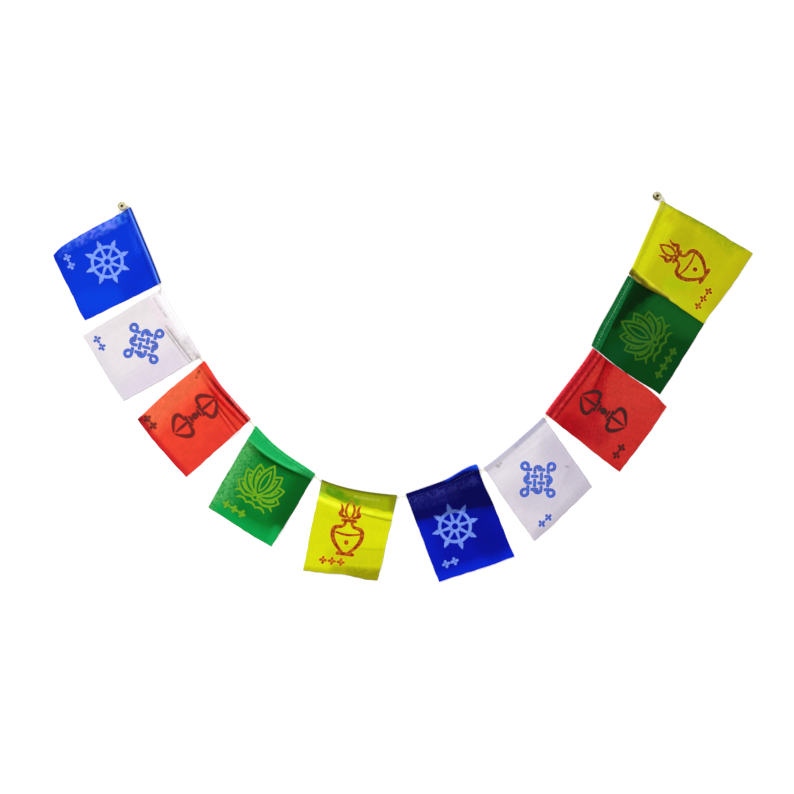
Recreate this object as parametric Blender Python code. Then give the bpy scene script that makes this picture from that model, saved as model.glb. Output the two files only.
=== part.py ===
"""A string of ten printed prayer flags with a brass bead at each end.

It lies in a U on the plane z = 0, the flags' printed faces up. The origin is on that plane, under
the middle of the bounding box. x runs to the right along the garland and y runs from the flags'
free edges towards the string. A flag's left and right are those seen with its casing at the top:
u runs across it from left to right, and v down it from the string to the free edge.
"""

import math
from collections import namedtuple

import bmesh
import bpy
import numpy as np
from mathutils import Matrix

MM = 0.001

# Sizes in millimetres.
CLOTH = 1.0
LAYER_GAP = 0.3
FOLD_RADIUS = 1.6
STRING_DIAMETER = 1.2
STRING_INSET = 0.4
HEM_SETTLES_OVER = 6.0
RIDGES_START_OVER = 8.0
BEAD_DIAMETER = 9.2
BEAD_FACE_DIAMETER = 4.8
BEAD_BORE = 2.6
BEAD_SIDE_BORE = 2.2
BEAD_SIDE_BORE_HEIGHT = 2.9
# The middle of the bounding box as the route and the corners below give it.
CENTRE = (-0.04, -0.07)

# How finely the shapes are cut.
COLUMNS = 8
FOLD_STEPS = 6
HEM_ROWS = 3
LONG_HEM_ROWS = 5
LONG_HEM = 20.0
BODY_ROWS = 8
CURVE_STEPS = 24
CASING_SPANS = 4
GAP_SPANS = 2
END_SPANS = 8
BEAD_SIDES = 24
BEAD_ARC_STEPS = 9
BORE_SIDES = 16

# The string's route from the left bead, through every casing, to the right bead: x, y, z.
ROUTE = (
    (-281.2, 180.4, 2.9),
    (-274.9, 180.5, 2.9),
    (-273.3, 176.6, 1.9),
    (-243.0, 103.4, 1.9),
    (-243.3, 96.9, 1.9),
    (-203.8, 29.7, 1.9),
    (-200.1, 24.7, 1.9),
    (-180.2, -6.2, 1.9),
    (-153.6, -33.3, 1.9),
    (-148.2, -41.0, 1.9),
    (-125.6, -64.6, 1.9),
    (-88.0, -88.6, 1.9),
    (-82.3, -95.4, 1.9),
    (-46.8, -106.8, 1.9),
    (-6.5, -110.9, 1.9),
    (3.7, -109.2, 1.9),
    (75.2, -83.4, 1.9),
    (82.5, -83.8, 1.9),
    (141.7, -32.8, 1.9),
    (142.6, -28.1, 1.9),
    (190.2, 33.6, 1.9),
    (189.5, 41.0, 1.9),
    (226.2, 110.0, 1.9),
    (228.7, 113.7, 1.9),
    (259.9, 184.5, 1.9),
    (260.9, 186.8, 2.1),
    (259.8, 189.1, 2.9),
    (253.2, 190.6, 2.9),
)

# Each flag's place: where its casing starts along the string, how wide it is, and its two free
# corners, x and y.
Place = namedtuple("Place", "start width foot_left foot_right")
PLACES = {
    "flag_01_blue": Place(8.4, 80.6, (-349.8, 131.2), (-318.1, 66.4)),
    "flag_02_white": Place(95.0, 78.0, (-320.0, 50.8), (-279.6, -14.6)),
    "flag_03_red": Place(179.0, 74.6, (-265.7, -32.4), (-216.8, -90.1)),
    "flag_04_green": Place(262.7, 76.7, (-194.7, -120.6), (-131.8, -160.3)),
    "flag_05_yellow": Place(348.8, 77.2, (-100.1, -183.5), (-25.9, -193.0)),
    "flag_06_blue": Place(435.9, 75.6, (36.0, -195.2), (111.3, -169.8)),
    "flag_07_white": Place(518.8, 77.9, (131.0, -154.5), (188.7, -99.8)),
    "flag_08_red": Place(601.6, 77.0, (216.4, -85.1), (263.2, -20.4)),
    "flag_09_green": Place(685.9, 76.9, (256.8, -7.6), (301.8, 64.8)),
    "flag_10_yellow": Place(768.0, 77.6, (300.3, 63.3), (349.8, 133.0)),
}

# How a flag's two sides and its free edge bow outwards, and where down each side the bow peaks.
Bow = namedtuple("Bow", "left left_at right right_at foot")
BOWS = {
    "flag_01_blue": Bow(3.6, 0.86, 0.6, 0.5, 0.6),
    "flag_02_white": Bow(0.8, 0.4, 0.8, 0.6, 0.8),
    "flag_03_red": Bow(1.0, 0.5, 0.6, 0.5, 1.6),
    "flag_04_green": Bow(0.8, 0.6, 0.6, 0.4, 0.4),
    "flag_05_yellow": Bow(0.6, 0.5, 0.9, 0.7, -0.8),
    "flag_06_blue": Bow(0.4, 0.5, 1.0, 0.3, 0.4),
    "flag_07_white": Bow(0.8, 0.4, 0.8, 0.6, 0.8),
    "flag_08_red": Bow(0.6, 0.6, 1.0, 0.4, 1.0),
    "flag_09_green": Bow(0.8, 0.5, 3.0, 0.3, 0.6),
    "flag_10_yellow": Bow(0.8, 0.5, 1.2, 0.5, 0.8),
}

# The hem that closes each casing: the side it is turned to, and its depth at its two ends.
Hem = namedtuple("Hem", "side left right")
HEMS = {
    "flag_01_blue": Hem("front", 6.0, 6.0),
    "flag_02_white": Hem("back", 15.0, 15.0),
    "flag_03_red": Hem("front", 8.5, 7.0),
    "flag_04_green": Hem("front", 15.0, 8.5),
    "flag_05_yellow": Hem("back", 11.0, 15.0),
    "flag_06_blue": Hem("back", 28.0, 37.0),
    "flag_07_white": Hem("back", 8.0, 8.0),
    "flag_08_red": Hem("front", 10.0, 10.0),
    "flag_09_green": Hem("front", 9.0, 6.5),
    "flag_10_yellow": Hem("back", 12.0, 12.0),
}

# A soft ridge in the cloth, from one point of a flag to another, in parts of its width and length.
Ridge = namedtuple("Ridge", "flag u0 v0 u1 v1 height reach")
RIDGES = (
    Ridge("flag_01_blue", 0.04, 0.20, 0.05, 0.78, 2.4, 13.0),
    Ridge("flag_01_blue", 0.00, 0.97, 0.10, 1.00, 3.4, 14.0),
    Ridge("flag_02_white", 0.38, 0.22, 0.98, 0.30, 1.8, 12.0),
    Ridge("flag_02_white", 0.00, 0.30, 0.02, 0.95, 1.6, 14.0),
    Ridge("flag_03_red", 0.36, 0.30, 1.00, 0.24, 2.6, 13.0),
    Ridge("flag_03_red", 0.06, 0.15, 0.12, 0.90, 2.2, 16.0),
    Ridge("flag_04_green", 0.08, 0.28, 0.08, 0.92, 2.4, 15.0),
    Ridge("flag_04_green", 0.70, 0.55, 1.00, 0.78, 2.0, 16.0),
    Ridge("flag_05_yellow", 0.02, 0.24, 1.00, 0.32, 2.2, 12.0),
    Ridge("flag_05_yellow", 0.02, 0.90, 0.98, 0.84, 2.0, 15.0),
    Ridge("flag_06_blue", 0.02, 0.45, 0.04, 1.00, 1.6, 13.0),
    Ridge("flag_06_blue", 0.30, 0.97, 1.00, 0.96, 1.4, 14.0),
    Ridge("flag_07_white", 0.10, 0.30, 0.80, 0.62, 1.8, 17.0),
    Ridge("flag_07_white", 0.04, 0.72, 0.30, 0.98, 1.6, 14.0),
    Ridge("flag_08_red", 0.10, 0.60, 0.86, 0.34, 2.4, 17.0),
    Ridge("flag_08_red", 0.96, 0.50, 0.98, 1.00, 1.8, 13.0),
    Ridge("flag_09_green", 0.06, 0.30, 0.60, 0.86, 2.2, 16.0),
    Ridge("flag_10_yellow", 0.00, 0.30, 0.00, 1.02, 2.4, 13.0),
    Ridge("flag_10_yellow", 0.72, 0.18, 0.96, 0.66, 2.6, 15.0),
    Ridge("flag_10_yellow", 0.30, 0.92, 0.95, 0.94, 2.0, 14.0),
)

# Each bead: where it stands, and the direction in degrees in which the string leaves it.
Bead = namedtuple("Bead", "x y string_angle")
BEADS = {
    "bead_left": Bead(-280.7, 180.4, 0.5),
    "bead_right": Bead(253.7, 190.5, -13.5),
}

Finish = namedtuple("Finish", "colour roughness metallic")
FINISHES = {
    "blue": Finish((0.003, 0.045, 0.62), 0.75, 0.0),
    "white": Finish((0.80, 0.76, 0.80), 0.80, 0.0),
    "red": Finish((0.72, 0.05, 0.03), 0.75, 0.0),
    "green": Finish((0.007, 0.24, 0.045), 0.75, 0.0),
    "yellow": Finish((0.68, 0.72, 0.003), 0.75, 0.0),
    "string": Finish((0.72, 0.66, 0.50), 0.90, 0.0),
    "brass": Finish((0.55, 0.43, 0.18), 0.35, 1.0),
}

# Heights of the middle of the cloth: lying flat, at the top of the fold, and on another layer.
FLAT = CLOTH / 2
FOLD_TOP = FLAT + 2 * FOLD_RADIUS
ON_LAYER = FLAT + CLOTH + LAYER_GAP


def clear_scene():
    for obj in list(bpy.data.objects):
        bpy.data.objects.remove(obj, do_unlink=True)


def finish(name):
    """The material of this name, made on its first use."""
    material = bpy.data.materials.get(name)
    if material is None:
        look = FINISHES[name]
        material = bpy.data.materials.new(name)
        material.use_nodes = True
        shader = material.node_tree.nodes["Principled BSDF"]
        shader.inputs["Base Color"].default_value = (*look.colour, 1.0)
        shader.inputs["Roughness"].default_value = look.roughness
        shader.inputs["Metallic"].default_value = look.metallic
    return material


def add_object(name, data, look):
    data.materials.append(finish(look))
    obj = bpy.data.objects.new(name, data)
    bpy.context.scene.collection.objects.link(obj)
    return obj


def smooth_step(x):
    x = min(max(x, 0.0), 1.0)
    return x * x * (3 - 2 * x)


def blend(a, b, share):
    return a + (b - a) * share


class StringLine:
    """The string's smooth middle line: each corner of the route is rounded between the middles
    of the two legs that meet there."""

    def __init__(self, route):
        corners = np.array(route)
        middles = (corners[:-1] + corners[1:]) / 2
        middles[0] = corners[0]
        middles[-1] = corners[-1]
        share = np.linspace(0, 1, CURVE_STEPS, endpoint=False)[:, None]
        pieces = [
            (1 - share) ** 2 * middles[i - 1] + 2 * share * (1 - share) * corners[i] + share**2 * middles[i]
            for i in range(1, len(corners) - 1)
        ]
        self.points = np.vstack([*pieces, corners[-1:]])
        steps = np.linalg.norm(np.diff(self.points, axis=0), axis=1)
        self.distances = np.concatenate([[0.0], np.cumsum(steps)])
        self.length = self.distances[-1]

    def at(self, distance):
        return np.array([np.interp(distance, self.distances, self.points[:, axis]) for axis in range(3)])


LINE = StringLine(ROUTE)


def bow_share(v, peak):
    """How much of a side's bow is reached at v, from 0 at both its ends to 1 at its peak."""
    away = (peak - v) / peak if v < peak else (v - peak) / (1 - peak)
    return 1 - abs(away) ** 1.4


class FlagShape:
    """Places points of one flag's cloth."""

    def __init__(self, name):
        self.place = PLACES[name]
        self.bow = BOWS[name]
        self.hem = HEMS[name]
        self.ridges = [ridge for ridge in RIDGES if ridge.flag == name]
        self.foot_left = np.array(self.place.foot_left)
        self.foot_right = np.array(self.place.foot_right)

    def ends(self, u):
        """The middle of the fold over the string and the free edge, at u."""
        top = LINE.at(self.place.start + u * self.place.width)[:2]
        foot = blend(self.foot_left, self.foot_right, u)
        down = (foot - top) / np.linalg.norm(foot - top)
        return top - down * STRING_INSET, foot + down * self.bow.foot * 4 * u * (1 - u)

    def length(self, u):
        top, foot = self.ends(u)
        return np.linalg.norm(foot - top)

    def hem_depth(self, u):
        return blend(self.hem.left, self.hem.right, u)

    def plan(self, u, down_mm):
        """Where a point lies on the plane, down_mm from the middle of the fold."""
        top, foot = self.ends(u)
        share = down_mm / np.linalg.norm(foot - top)
        across = (self.foot_right - self.foot_left) / np.linalg.norm(self.foot_right - self.foot_left)
        sideways = 0.0
        if share > 0:
            sideways += u * self.bow.right * bow_share(share, self.bow.right_at)
            sideways -= (1 - u) * self.bow.left * bow_share(share, self.bow.left_at)
        return blend(top, foot, share) + across * sideways

    def lift(self, u, down_mm):
        """The height that the ridges give the cloth."""
        length = self.length(u)
        here = np.array([u * self.place.width, down_mm])
        total = 0.0
        for ridge in self.ridges:
            start = np.array([ridge.u0 * self.place.width, ridge.v0 * length])
            run = np.array([ridge.u1 * self.place.width, ridge.v1 * length]) - start
            share = min(max(np.dot(here - start, run) / np.dot(run, run), 0.0), 1.0)
            away = np.linalg.norm(here - start - run * share) / ridge.reach
            if away < 1:
                total += ridge.height * (1 - away**2) ** 2
        return total * smooth_step(down_mm / RIDGES_START_OVER)

    def upper_layer(self, u, down_mm):
        """The height of the layer on top: it settles on the lower one, then past it, flat."""
        depth = self.hem_depth(u)
        settled = smooth_step(down_mm / min(HEM_SETTLES_OVER, depth))
        height = blend(FOLD_TOP, ON_LAYER, settled)
        past = smooth_step((down_mm - depth - LAYER_GAP) / HEM_SETTLES_OVER)
        return blend(height, FLAT, past)

    def sections(self):
        """The cloth's run from the hem's cut edge round the string to the free edge, as functions
        of u that give how far down a point is and how high."""
        hem_on_top = self.hem.side == "front"
        hem_rows = LONG_HEM_ROWS if max(self.hem.left, self.hem.right) > LONG_HEM else HEM_ROWS
        hem_parts = [row / hem_rows for row in range(1, hem_rows + 1)]

        def layer_point(u, down_mm, on_top):
            height = self.upper_layer(u, down_mm) if on_top else FLAT
            return down_mm, height + self.lift(u, down_mm)

        def hem_point(part, on_top):
            return lambda u: layer_point(u, part * self.hem_depth(u), on_top)

        def fold_point(turn):
            down_mm = -FOLD_RADIUS * math.sin(turn)
            height = FLAT + FOLD_RADIUS - FOLD_RADIUS * math.cos(turn)
            return lambda u: (down_mm, height)

        def body_point(part):
            def point(u):
                down_mm = blend(self.hem_depth(u), self.length(u), part)
                return layer_point(u, down_mm, not hem_on_top)

            return point

        turns = [math.pi * step / FOLD_STEPS for step in range(FOLD_STEPS + 1)]
        if hem_on_top:
            turns.reverse()
        run = [hem_point(part, hem_on_top) for part in reversed(hem_parts)]
        run += [fold_point(turn) for turn in turns]
        run += [hem_point(part, not hem_on_top) for part in hem_parts]
        run += [body_point((row / BODY_ROWS) ** 1.25) for row in range(1, BODY_ROWS + 1)]
        return run


def add_flag(name):
    """One piece of cloth: its hem, the fold round the string and the printed field."""
    shape = FlagShape(name)
    run = shape.sections()
    rows = len(run) - 1
    bm = bmesh.new()
    bmesh.ops.create_grid(bm, x_segments=COLUMNS, y_segments=rows, size=1.0)
    for vert in bm.verts:
        u = (vert.co.x + 1) / 2
        row = round((1 - vert.co.y) / 2 * rows)
        down_mm, height = run[row](u)
        x, y = shape.plan(u, down_mm)
        vert.co = ((x - CENTRE[0]) * MM, (y - CENTRE[1]) * MM, height * MM)
    mesh = bpy.data.meshes.new(name)
    bm.to_mesh(mesh)
    bm.free()
    mesh.shade_smooth()
    obj = add_object(name, mesh, name.split("_")[-1])
    thickness = obj.modifiers.new("Cloth thickness", "SOLIDIFY")
    thickness.thickness = CLOTH * MM
    thickness.offset = 0.0
    thickness.use_even_offset = True


def string_stops():
    """Distances along the string at which its tube is cut: at both ends of every casing, evenly
    inside it, and between casings."""
    places = sorted(PLACES.values(), key=lambda place: place.start)
    stops = list(np.linspace(0.0, places[0].start, END_SPANS + 1))[:-1]
    for place, following in zip(places, places[1:] + [None]):
        end = place.start + place.width
        stops += list(np.linspace(place.start, end, CASING_SPANS + 1))
        if following:
            stops += list(np.linspace(end, following.start, GAP_SPANS + 1))[1:-1]
        else:
            stops += list(np.linspace(end, LINE.length, END_SPANS + 1))[1:]
    return stops


def add_string():
    curve = bpy.data.curves.new("string", "CURVE")
    curve.dimensions = "3D"
    curve.bevel_depth = STRING_DIAMETER / 2 * MM
    curve.bevel_resolution = 2
    curve.use_fill_caps = True
    spline = curve.splines.new("POLY")
    stops = string_stops()
    spline.points.add(len(stops) - 1)
    for point, distance in zip(spline.points, stops):
        x, y, z = LINE.at(distance)
        point.co = ((x - CENTRE[0]) * MM, (y - CENTRE[1]) * MM, z * MM, 1.0)
    add_object("string", curve, "string")


def bead_profile():
    """Half of the bead's section, from its lower face round its outside to its upper face."""
    radius = BEAD_DIAMETER / 2
    face = BEAD_FACE_DIAMETER / 2
    rise = math.acos(face / radius)
    middle = radius * math.sin(rise)
    points = [(BEAD_BORE / 2, 0.0)]
    for step in range(BEAD_ARC_STEPS + 1):
        angle = -rise + 2 * rise * step / BEAD_ARC_STEPS
        points.append((radius * math.cos(angle), middle + radius * math.sin(angle)))
    points.append((BEAD_BORE / 2, 2 * middle))
    return points


def add_bead(name):
    """A ball with a flat at each pole, bored through upright, and bored from its side to the
    upright bore for the string."""
    bead = BEADS[name]
    bm = bmesh.new()
    verts = [bm.verts.new((x * MM, 0.0, z * MM)) for x, z in bead_profile()]
    edges = [bm.edges.new(pair) for pair in zip(verts, verts[1:] + verts[:1])]
    bmesh.ops.spin(
        bm,
        geom=verts + edges,
        cent=(0, 0, 0),
        axis=(0, 0, 1),
        angle=math.tau,
        steps=BEAD_SIDES,
        use_merge=True,
    )
    bmesh.ops.remove_doubles(bm, verts=bm.verts, dist=0.001 * MM)
    bmesh.ops.recalc_face_normals(bm, faces=bm.faces)
    mesh = bpy.data.meshes.new(name)
    bm.to_mesh(mesh)
    bm.free()
    mesh.shade_smooth()
    mesh.set_sharp_from_angle(angle=math.radians(40))
    obj = add_object(name, mesh, "brass")
    stand = ((bead.x - CENTRE[0]) * MM, (bead.y - CENTRE[1]) * MM, 0.0)
    obj.location = stand

    cutter = bmesh.new()
    length = BEAD_DIAMETER * MM
    turn = Matrix.Rotation(math.radians(bead.string_angle), 4, "Z")
    lay_down = Matrix.Rotation(math.pi / 2, 4, "Y")
    out = Matrix.Translation((length / 2, 0.0, BEAD_SIDE_BORE_HEIGHT * MM))
    bmesh.ops.create_cone(
        cutter,
        cap_ends=True,
        segments=BORE_SIDES,
        radius1=BEAD_SIDE_BORE / 2 * MM,
        radius2=BEAD_SIDE_BORE / 2 * MM,
        depth=length,
        matrix=turn @ out @ lay_down,
    )
    drill_mesh = bpy.data.meshes.new(name + "_drill")
    cutter.to_mesh(drill_mesh)
    cutter.free()
    drill = bpy.data.objects.new(name + "_drill", drill_mesh)
    bpy.context.scene.collection.objects.link(drill)
    drill.location = stand
    drill.hide_render = True
    drill.display_type = "WIRE"
    side_bore = obj.modifiers.new("Side bore", "BOOLEAN")
    side_bore.operation = "DIFFERENCE"
    side_bore.object = drill


def main():
    clear_scene()
    for name in PLACES:
        add_flag(name)
    add_string()
    for name in BEADS:
        add_bead(name)


main()
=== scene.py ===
"""Dresses the string of ten prayer flags: dyed and block-printed cloth, sewn casings, a twisted
string and a brass bead at each end, laid out in a U on a pale floor.

Lengths in the tables are in millimetres. u runs across a flag from left to right and v down it,
from the string to the free edge, with the casing at the top.
"""

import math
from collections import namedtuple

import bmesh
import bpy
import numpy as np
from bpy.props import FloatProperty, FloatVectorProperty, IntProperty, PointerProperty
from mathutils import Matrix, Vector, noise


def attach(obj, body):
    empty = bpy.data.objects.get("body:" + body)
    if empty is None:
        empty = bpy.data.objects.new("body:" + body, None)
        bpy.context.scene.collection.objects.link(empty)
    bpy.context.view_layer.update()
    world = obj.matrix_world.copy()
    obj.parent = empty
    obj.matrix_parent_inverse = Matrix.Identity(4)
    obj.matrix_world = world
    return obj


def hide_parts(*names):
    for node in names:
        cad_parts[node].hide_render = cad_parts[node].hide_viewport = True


bl_info = {
    "name": "Prayer flag garland",
    "version": (1, 0, 0),
    "blender": (4, 5, 0),
    "location": "3D View > Sidebar > Garland",
    "description": "Adds the cloth, stitching, string and beads of a string of prayer flags",
    "category": "Add Mesh",
}

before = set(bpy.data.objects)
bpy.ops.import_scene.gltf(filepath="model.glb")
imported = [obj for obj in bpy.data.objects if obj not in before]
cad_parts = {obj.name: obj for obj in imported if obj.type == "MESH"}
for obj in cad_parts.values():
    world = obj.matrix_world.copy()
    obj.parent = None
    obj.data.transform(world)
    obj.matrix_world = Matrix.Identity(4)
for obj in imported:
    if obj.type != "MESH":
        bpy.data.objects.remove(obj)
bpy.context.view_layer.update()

MM = 0.001
BODY = "root"

# The garland's own sizes, as it was made.
CENTRE = (-0.04, -0.07)
PICTURE_MIDDLE = (-6.2, -10.2)
FOLD_RADIUS = 1.6
STRING_DIAMETER = 1.2
STRING_INSET = 0.4
RIDGES_START_OVER = 8.0
CASING_SETTLES_OVER = 5.0
HEM_STEP_OVER = 3.0
STRAND_SHARE = 0.54
KNOT_RADIUS = 1.22
TAIL_RADIUS = 0.42
FLOOR_REACH = 40.0
FLOOR_BELOW = 0.2

# The string's way from bead to bead: corners that pull its smooth line towards them.
ROUTE = (
    (-281.2, 180.4, 2.9),
    (-274.9, 180.5, 2.9),
    (-273.3, 176.6, 1.9),
    (-243.0, 103.4, 1.9),
    (-243.3, 96.9, 1.9),
    (-203.8, 29.7, 1.9),
    (-200.1, 24.7, 1.9),
    (-180.2, -6.2, 1.9),
    (-153.6, -33.3, 1.9),
    (-148.2, -41.0, 1.9),
    (-125.6, -64.6, 1.9),
    (-88.0, -88.6, 1.9),
    (-82.3, -95.4, 1.9),
    (-46.8, -106.8, 1.9),
    (-6.5, -110.9, 1.9),
    (3.7, -109.2, 1.9),
    (75.2, -83.4, 1.9),
    (82.5, -83.8, 1.9),
    (141.7, -32.8, 1.9),
    (142.6, -28.1, 1.9),
    (190.2, 33.6, 1.9),
    (189.5, 41.0, 1.9),
    (226.2, 110.0, 1.9),
    (228.7, 113.7, 1.9),
    (259.9, 184.5, 1.9),
    (260.9, 186.8, 2.1),
    (259.8, 189.1, 2.9),
    (253.2, 190.6, 2.9),
)

# Where each casing starts along the string, how wide it is, and the flag's two free corners.
Place = namedtuple("Place", "start width foot_left foot_right")
PLACES = {
    "flag_01_blue": Place(8.4, 80.6, (-349.8, 131.2), (-318.1, 66.4)),
    "flag_02_white": Place(95.0, 78.0, (-320.0, 50.8), (-279.6, -14.6)),
    "flag_03_red": Place(179.0, 74.6, (-265.7, -32.4), (-216.8, -90.1)),
    "flag_04_green": Place(262.7, 76.7, (-194.7, -120.6), (-131.8, -160.3)),
    "flag_05_yellow": Place(348.8, 77.2, (-100.1, -183.5), (-25.9, -193.0)),
    "flag_06_blue": Place(435.9, 75.6, (36.0, -195.2), (111.3, -169.8)),
    "flag_07_white": Place(518.8, 77.9, (131.0, -154.5), (188.7, -99.8)),
    "flag_08_red": Place(601.6, 77.0, (216.4, -85.1), (263.2, -20.4)),
    "flag_09_green": Place(685.9, 76.9, (256.8, -7.6), (301.8, 64.8)),
    "flag_10_yellow": Place(768.0, 77.6, (300.3, 63.3), (349.8, 133.0)),
}

# How each flag's sides and free edge bow outwards, and where down each side the bow peaks.
Bow = namedtuple("Bow", "left left_at right right_at foot")
BOWS = {
    "flag_01_blue": Bow(3.6, 0.86, 0.6, 0.5, 0.6),
    "flag_02_white": Bow(0.8, 0.4, 0.8, 0.6, 0.8),
    "flag_03_red": Bow(1.0, 0.5, 0.6, 0.5, 1.6),
    "flag_04_green": Bow(0.8, 0.6, 0.6, 0.4, 0.4),
    "flag_05_yellow": Bow(0.6, 0.5, 0.9, 0.7, -0.8),
    "flag_06_blue": Bow(0.4, 0.5, 1.0, 0.3, 0.4),
    "flag_07_white": Bow(0.8, 0.4, 0.8, 0.6, 0.8),
    "flag_08_red": Bow(0.6, 0.6, 1.0, 0.4, 1.0),
    "flag_09_green": Bow(0.8, 0.5, 3.0, 0.3, 0.6),
    "flag_10_yellow": Bow(0.8, 0.5, 1.2, 0.5, 0.8),
}

# The hem that closes each casing: the side it is turned to, and its depth at its two ends.
Hem = namedtuple("Hem", "side left right")
HEMS = {
    "flag_01_blue": Hem("front", 6.0, 6.0),
    "flag_02_white": Hem("back", 15.0, 15.0),
    "flag_03_red": Hem("front", 8.5, 7.0),
    "flag_04_green": Hem("front", 15.0, 6.1),
    "flag_05_yellow": Hem("back", 11.0, 15.0),
    "flag_06_blue": Hem("back", 28.0, 37.0),
    "flag_07_white": Hem("back", 8.0, 8.0),
    "flag_08_red": Hem("front", 10.0, 10.0),
    "flag_09_green": Hem("front", 9.0, 6.5),
    "flag_10_yellow": Hem("back", 12.0, 12.0),
}


def rows_of(kind, flag, *rows):
    """One flag's rows of a table."""
    return [kind(flag, *row) for row in rows]


# Soft ridges and fine creases in the cloth, from one point of a flag to another.
Crease = namedtuple("Crease", "flag u0 v0 u1 v1 height reach")
RIDGES = (
    *rows_of(
        Crease, "flag_01_blue",
        (0.04, 0.20, 0.05, 0.78, 2.4, 13.0),
        (0.00, 0.97, 0.10, 1.00, 3.4, 14.0),
    ),
    *rows_of(
        Crease, "flag_02_white",
        (0.38, 0.22, 0.98, 0.30, 1.8, 12.0),
        (0.00, 0.30, 0.02, 0.95, 1.6, 14.0),
    ),
    *rows_of(
        Crease, "flag_03_red",
        (0.36, 0.30, 1.00, 0.24, 2.6, 13.0),
        (0.06, 0.15, 0.12, 0.90, 2.2, 16.0),
    ),
    *rows_of(
        Crease, "flag_04_green",
        (0.08, 0.28, 0.08, 0.92, 2.4, 15.0),
        (0.70, 0.55, 1.00, 0.78, 2.0, 16.0),
    ),
    *rows_of(
        Crease, "flag_05_yellow",
        (0.02, 0.24, 1.00, 0.32, 2.2, 12.0),
        (0.02, 0.90, 0.98, 0.84, 2.0, 15.0),
    ),
    *rows_of(
        Crease, "flag_06_blue",
        (0.02, 0.45, 0.04, 1.00, 1.6, 13.0),
        (0.30, 0.97, 1.00, 0.96, 1.4, 14.0),
    ),
    *rows_of(
        Crease, "flag_07_white",
        (0.10, 0.30, 0.80, 0.62, 1.8, 17.0),
        (0.04, 0.72, 0.30, 0.98, 1.6, 14.0),
    ),
    *rows_of(
        Crease, "flag_08_red",
        (0.10, 0.60, 0.86, 0.34, 2.4, 17.0),
        (0.96, 0.50, 0.98, 1.00, 1.8, 13.0),
    ),
    *rows_of(
        Crease, "flag_09_green",
        (0.06, 0.30, 0.60, 0.86, 2.2, 16.0),
    ),
    *rows_of(
        Crease, "flag_10_yellow",
        (0.00, 0.30, 0.00, 1.02, 2.4, 13.0),
        (0.72, 0.18, 0.96, 0.66, 2.6, 15.0),
        (0.30, 0.92, 0.95, 0.94, 2.0, 14.0),
    ),
)
CREASES = (
    *rows_of(
        Crease, "flag_01_blue",
        (0.10, 0.44, 0.86, 0.50, 0.5, 4.0),
        (0.22, 0.96, 0.80, 0.88, 0.5, 5.0),
    ),
    *rows_of(
        Crease, "flag_02_white",
        (0.44, 0.14, 0.98, 0.10, 0.9, 2.6),
        (0.48, 0.19, 1.00, 0.15, 0.7, 2.4),
        (0.08, 0.11, 0.34, 0.09, 0.7, 2.4),
        (0.04, 0.52, 0.96, 0.50, 0.4, 4.0),
    ),
    *rows_of(
        Crease, "flag_03_red",
        (0.46, 0.15, 1.00, 0.20, 1.0, 2.8),
        (0.20, 0.64, 0.94, 0.72, 0.4, 4.0),
    ),
    *rows_of(
        Crease, "flag_04_green",
        (0.30, 0.22, 0.98, 0.34, 0.5, 4.5),
        (0.16, 0.70, 0.60, 0.94, 0.5, 5.0),
    ),
    *rows_of(
        Crease, "flag_05_yellow",
        (0.58, 0.23, 0.99, 0.29, 0.7, 2.6),
        (0.04, 0.58, 0.60, 0.56, 0.4, 4.0),
        (0.10, 0.84, 0.92, 0.76, 0.6, 4.0),
    ),
    *rows_of(
        Crease, "flag_06_blue",
        (0.10, 0.12, 0.86, 0.16, 0.5, 3.0),
        (0.30, 0.70, 0.96, 0.62, 0.4, 5.0),
    ),
    *rows_of(
        Crease, "flag_07_white",
        (0.30, 0.12, 0.96, 0.20, 0.6, 4.0),
        (0.36, 0.86, 0.98, 0.58, 0.5, 4.0),
    ),
    *rows_of(
        Crease, "flag_08_red",
        (0.92, 0.16, 0.60, 0.34, 0.9, 3.6),
        (0.14, 0.36, 0.52, 0.30, 0.5, 4.0),
    ),
    *rows_of(
        Crease, "flag_09_green",
        (0.44, 0.10, 0.20, 0.26, 0.6, 4.0),
        (0.70, 0.36, 0.96, 0.60, 0.6, 5.0),
    ),
    *rows_of(
        Crease, "flag_10_yellow",
        (0.62, 0.06, 0.90, 0.22, 0.7, 3.0),
        (0.70, 0.04, 0.98, 0.12, 0.6, 2.4),
        (0.02, 0.03, 0.03, 0.38, 1.3, 4.0),
        (0.94, 0.30, 1.00, 0.33, 0.7, 2.6),
        (0.93, 0.44, 1.00, 0.46, 0.7, 2.4),
        (0.94, 0.58, 1.00, 0.60, 0.6, 2.6),
        (0.20, 0.70, 0.70, 0.62, 0.5, 4.0),
    ),
)

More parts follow.
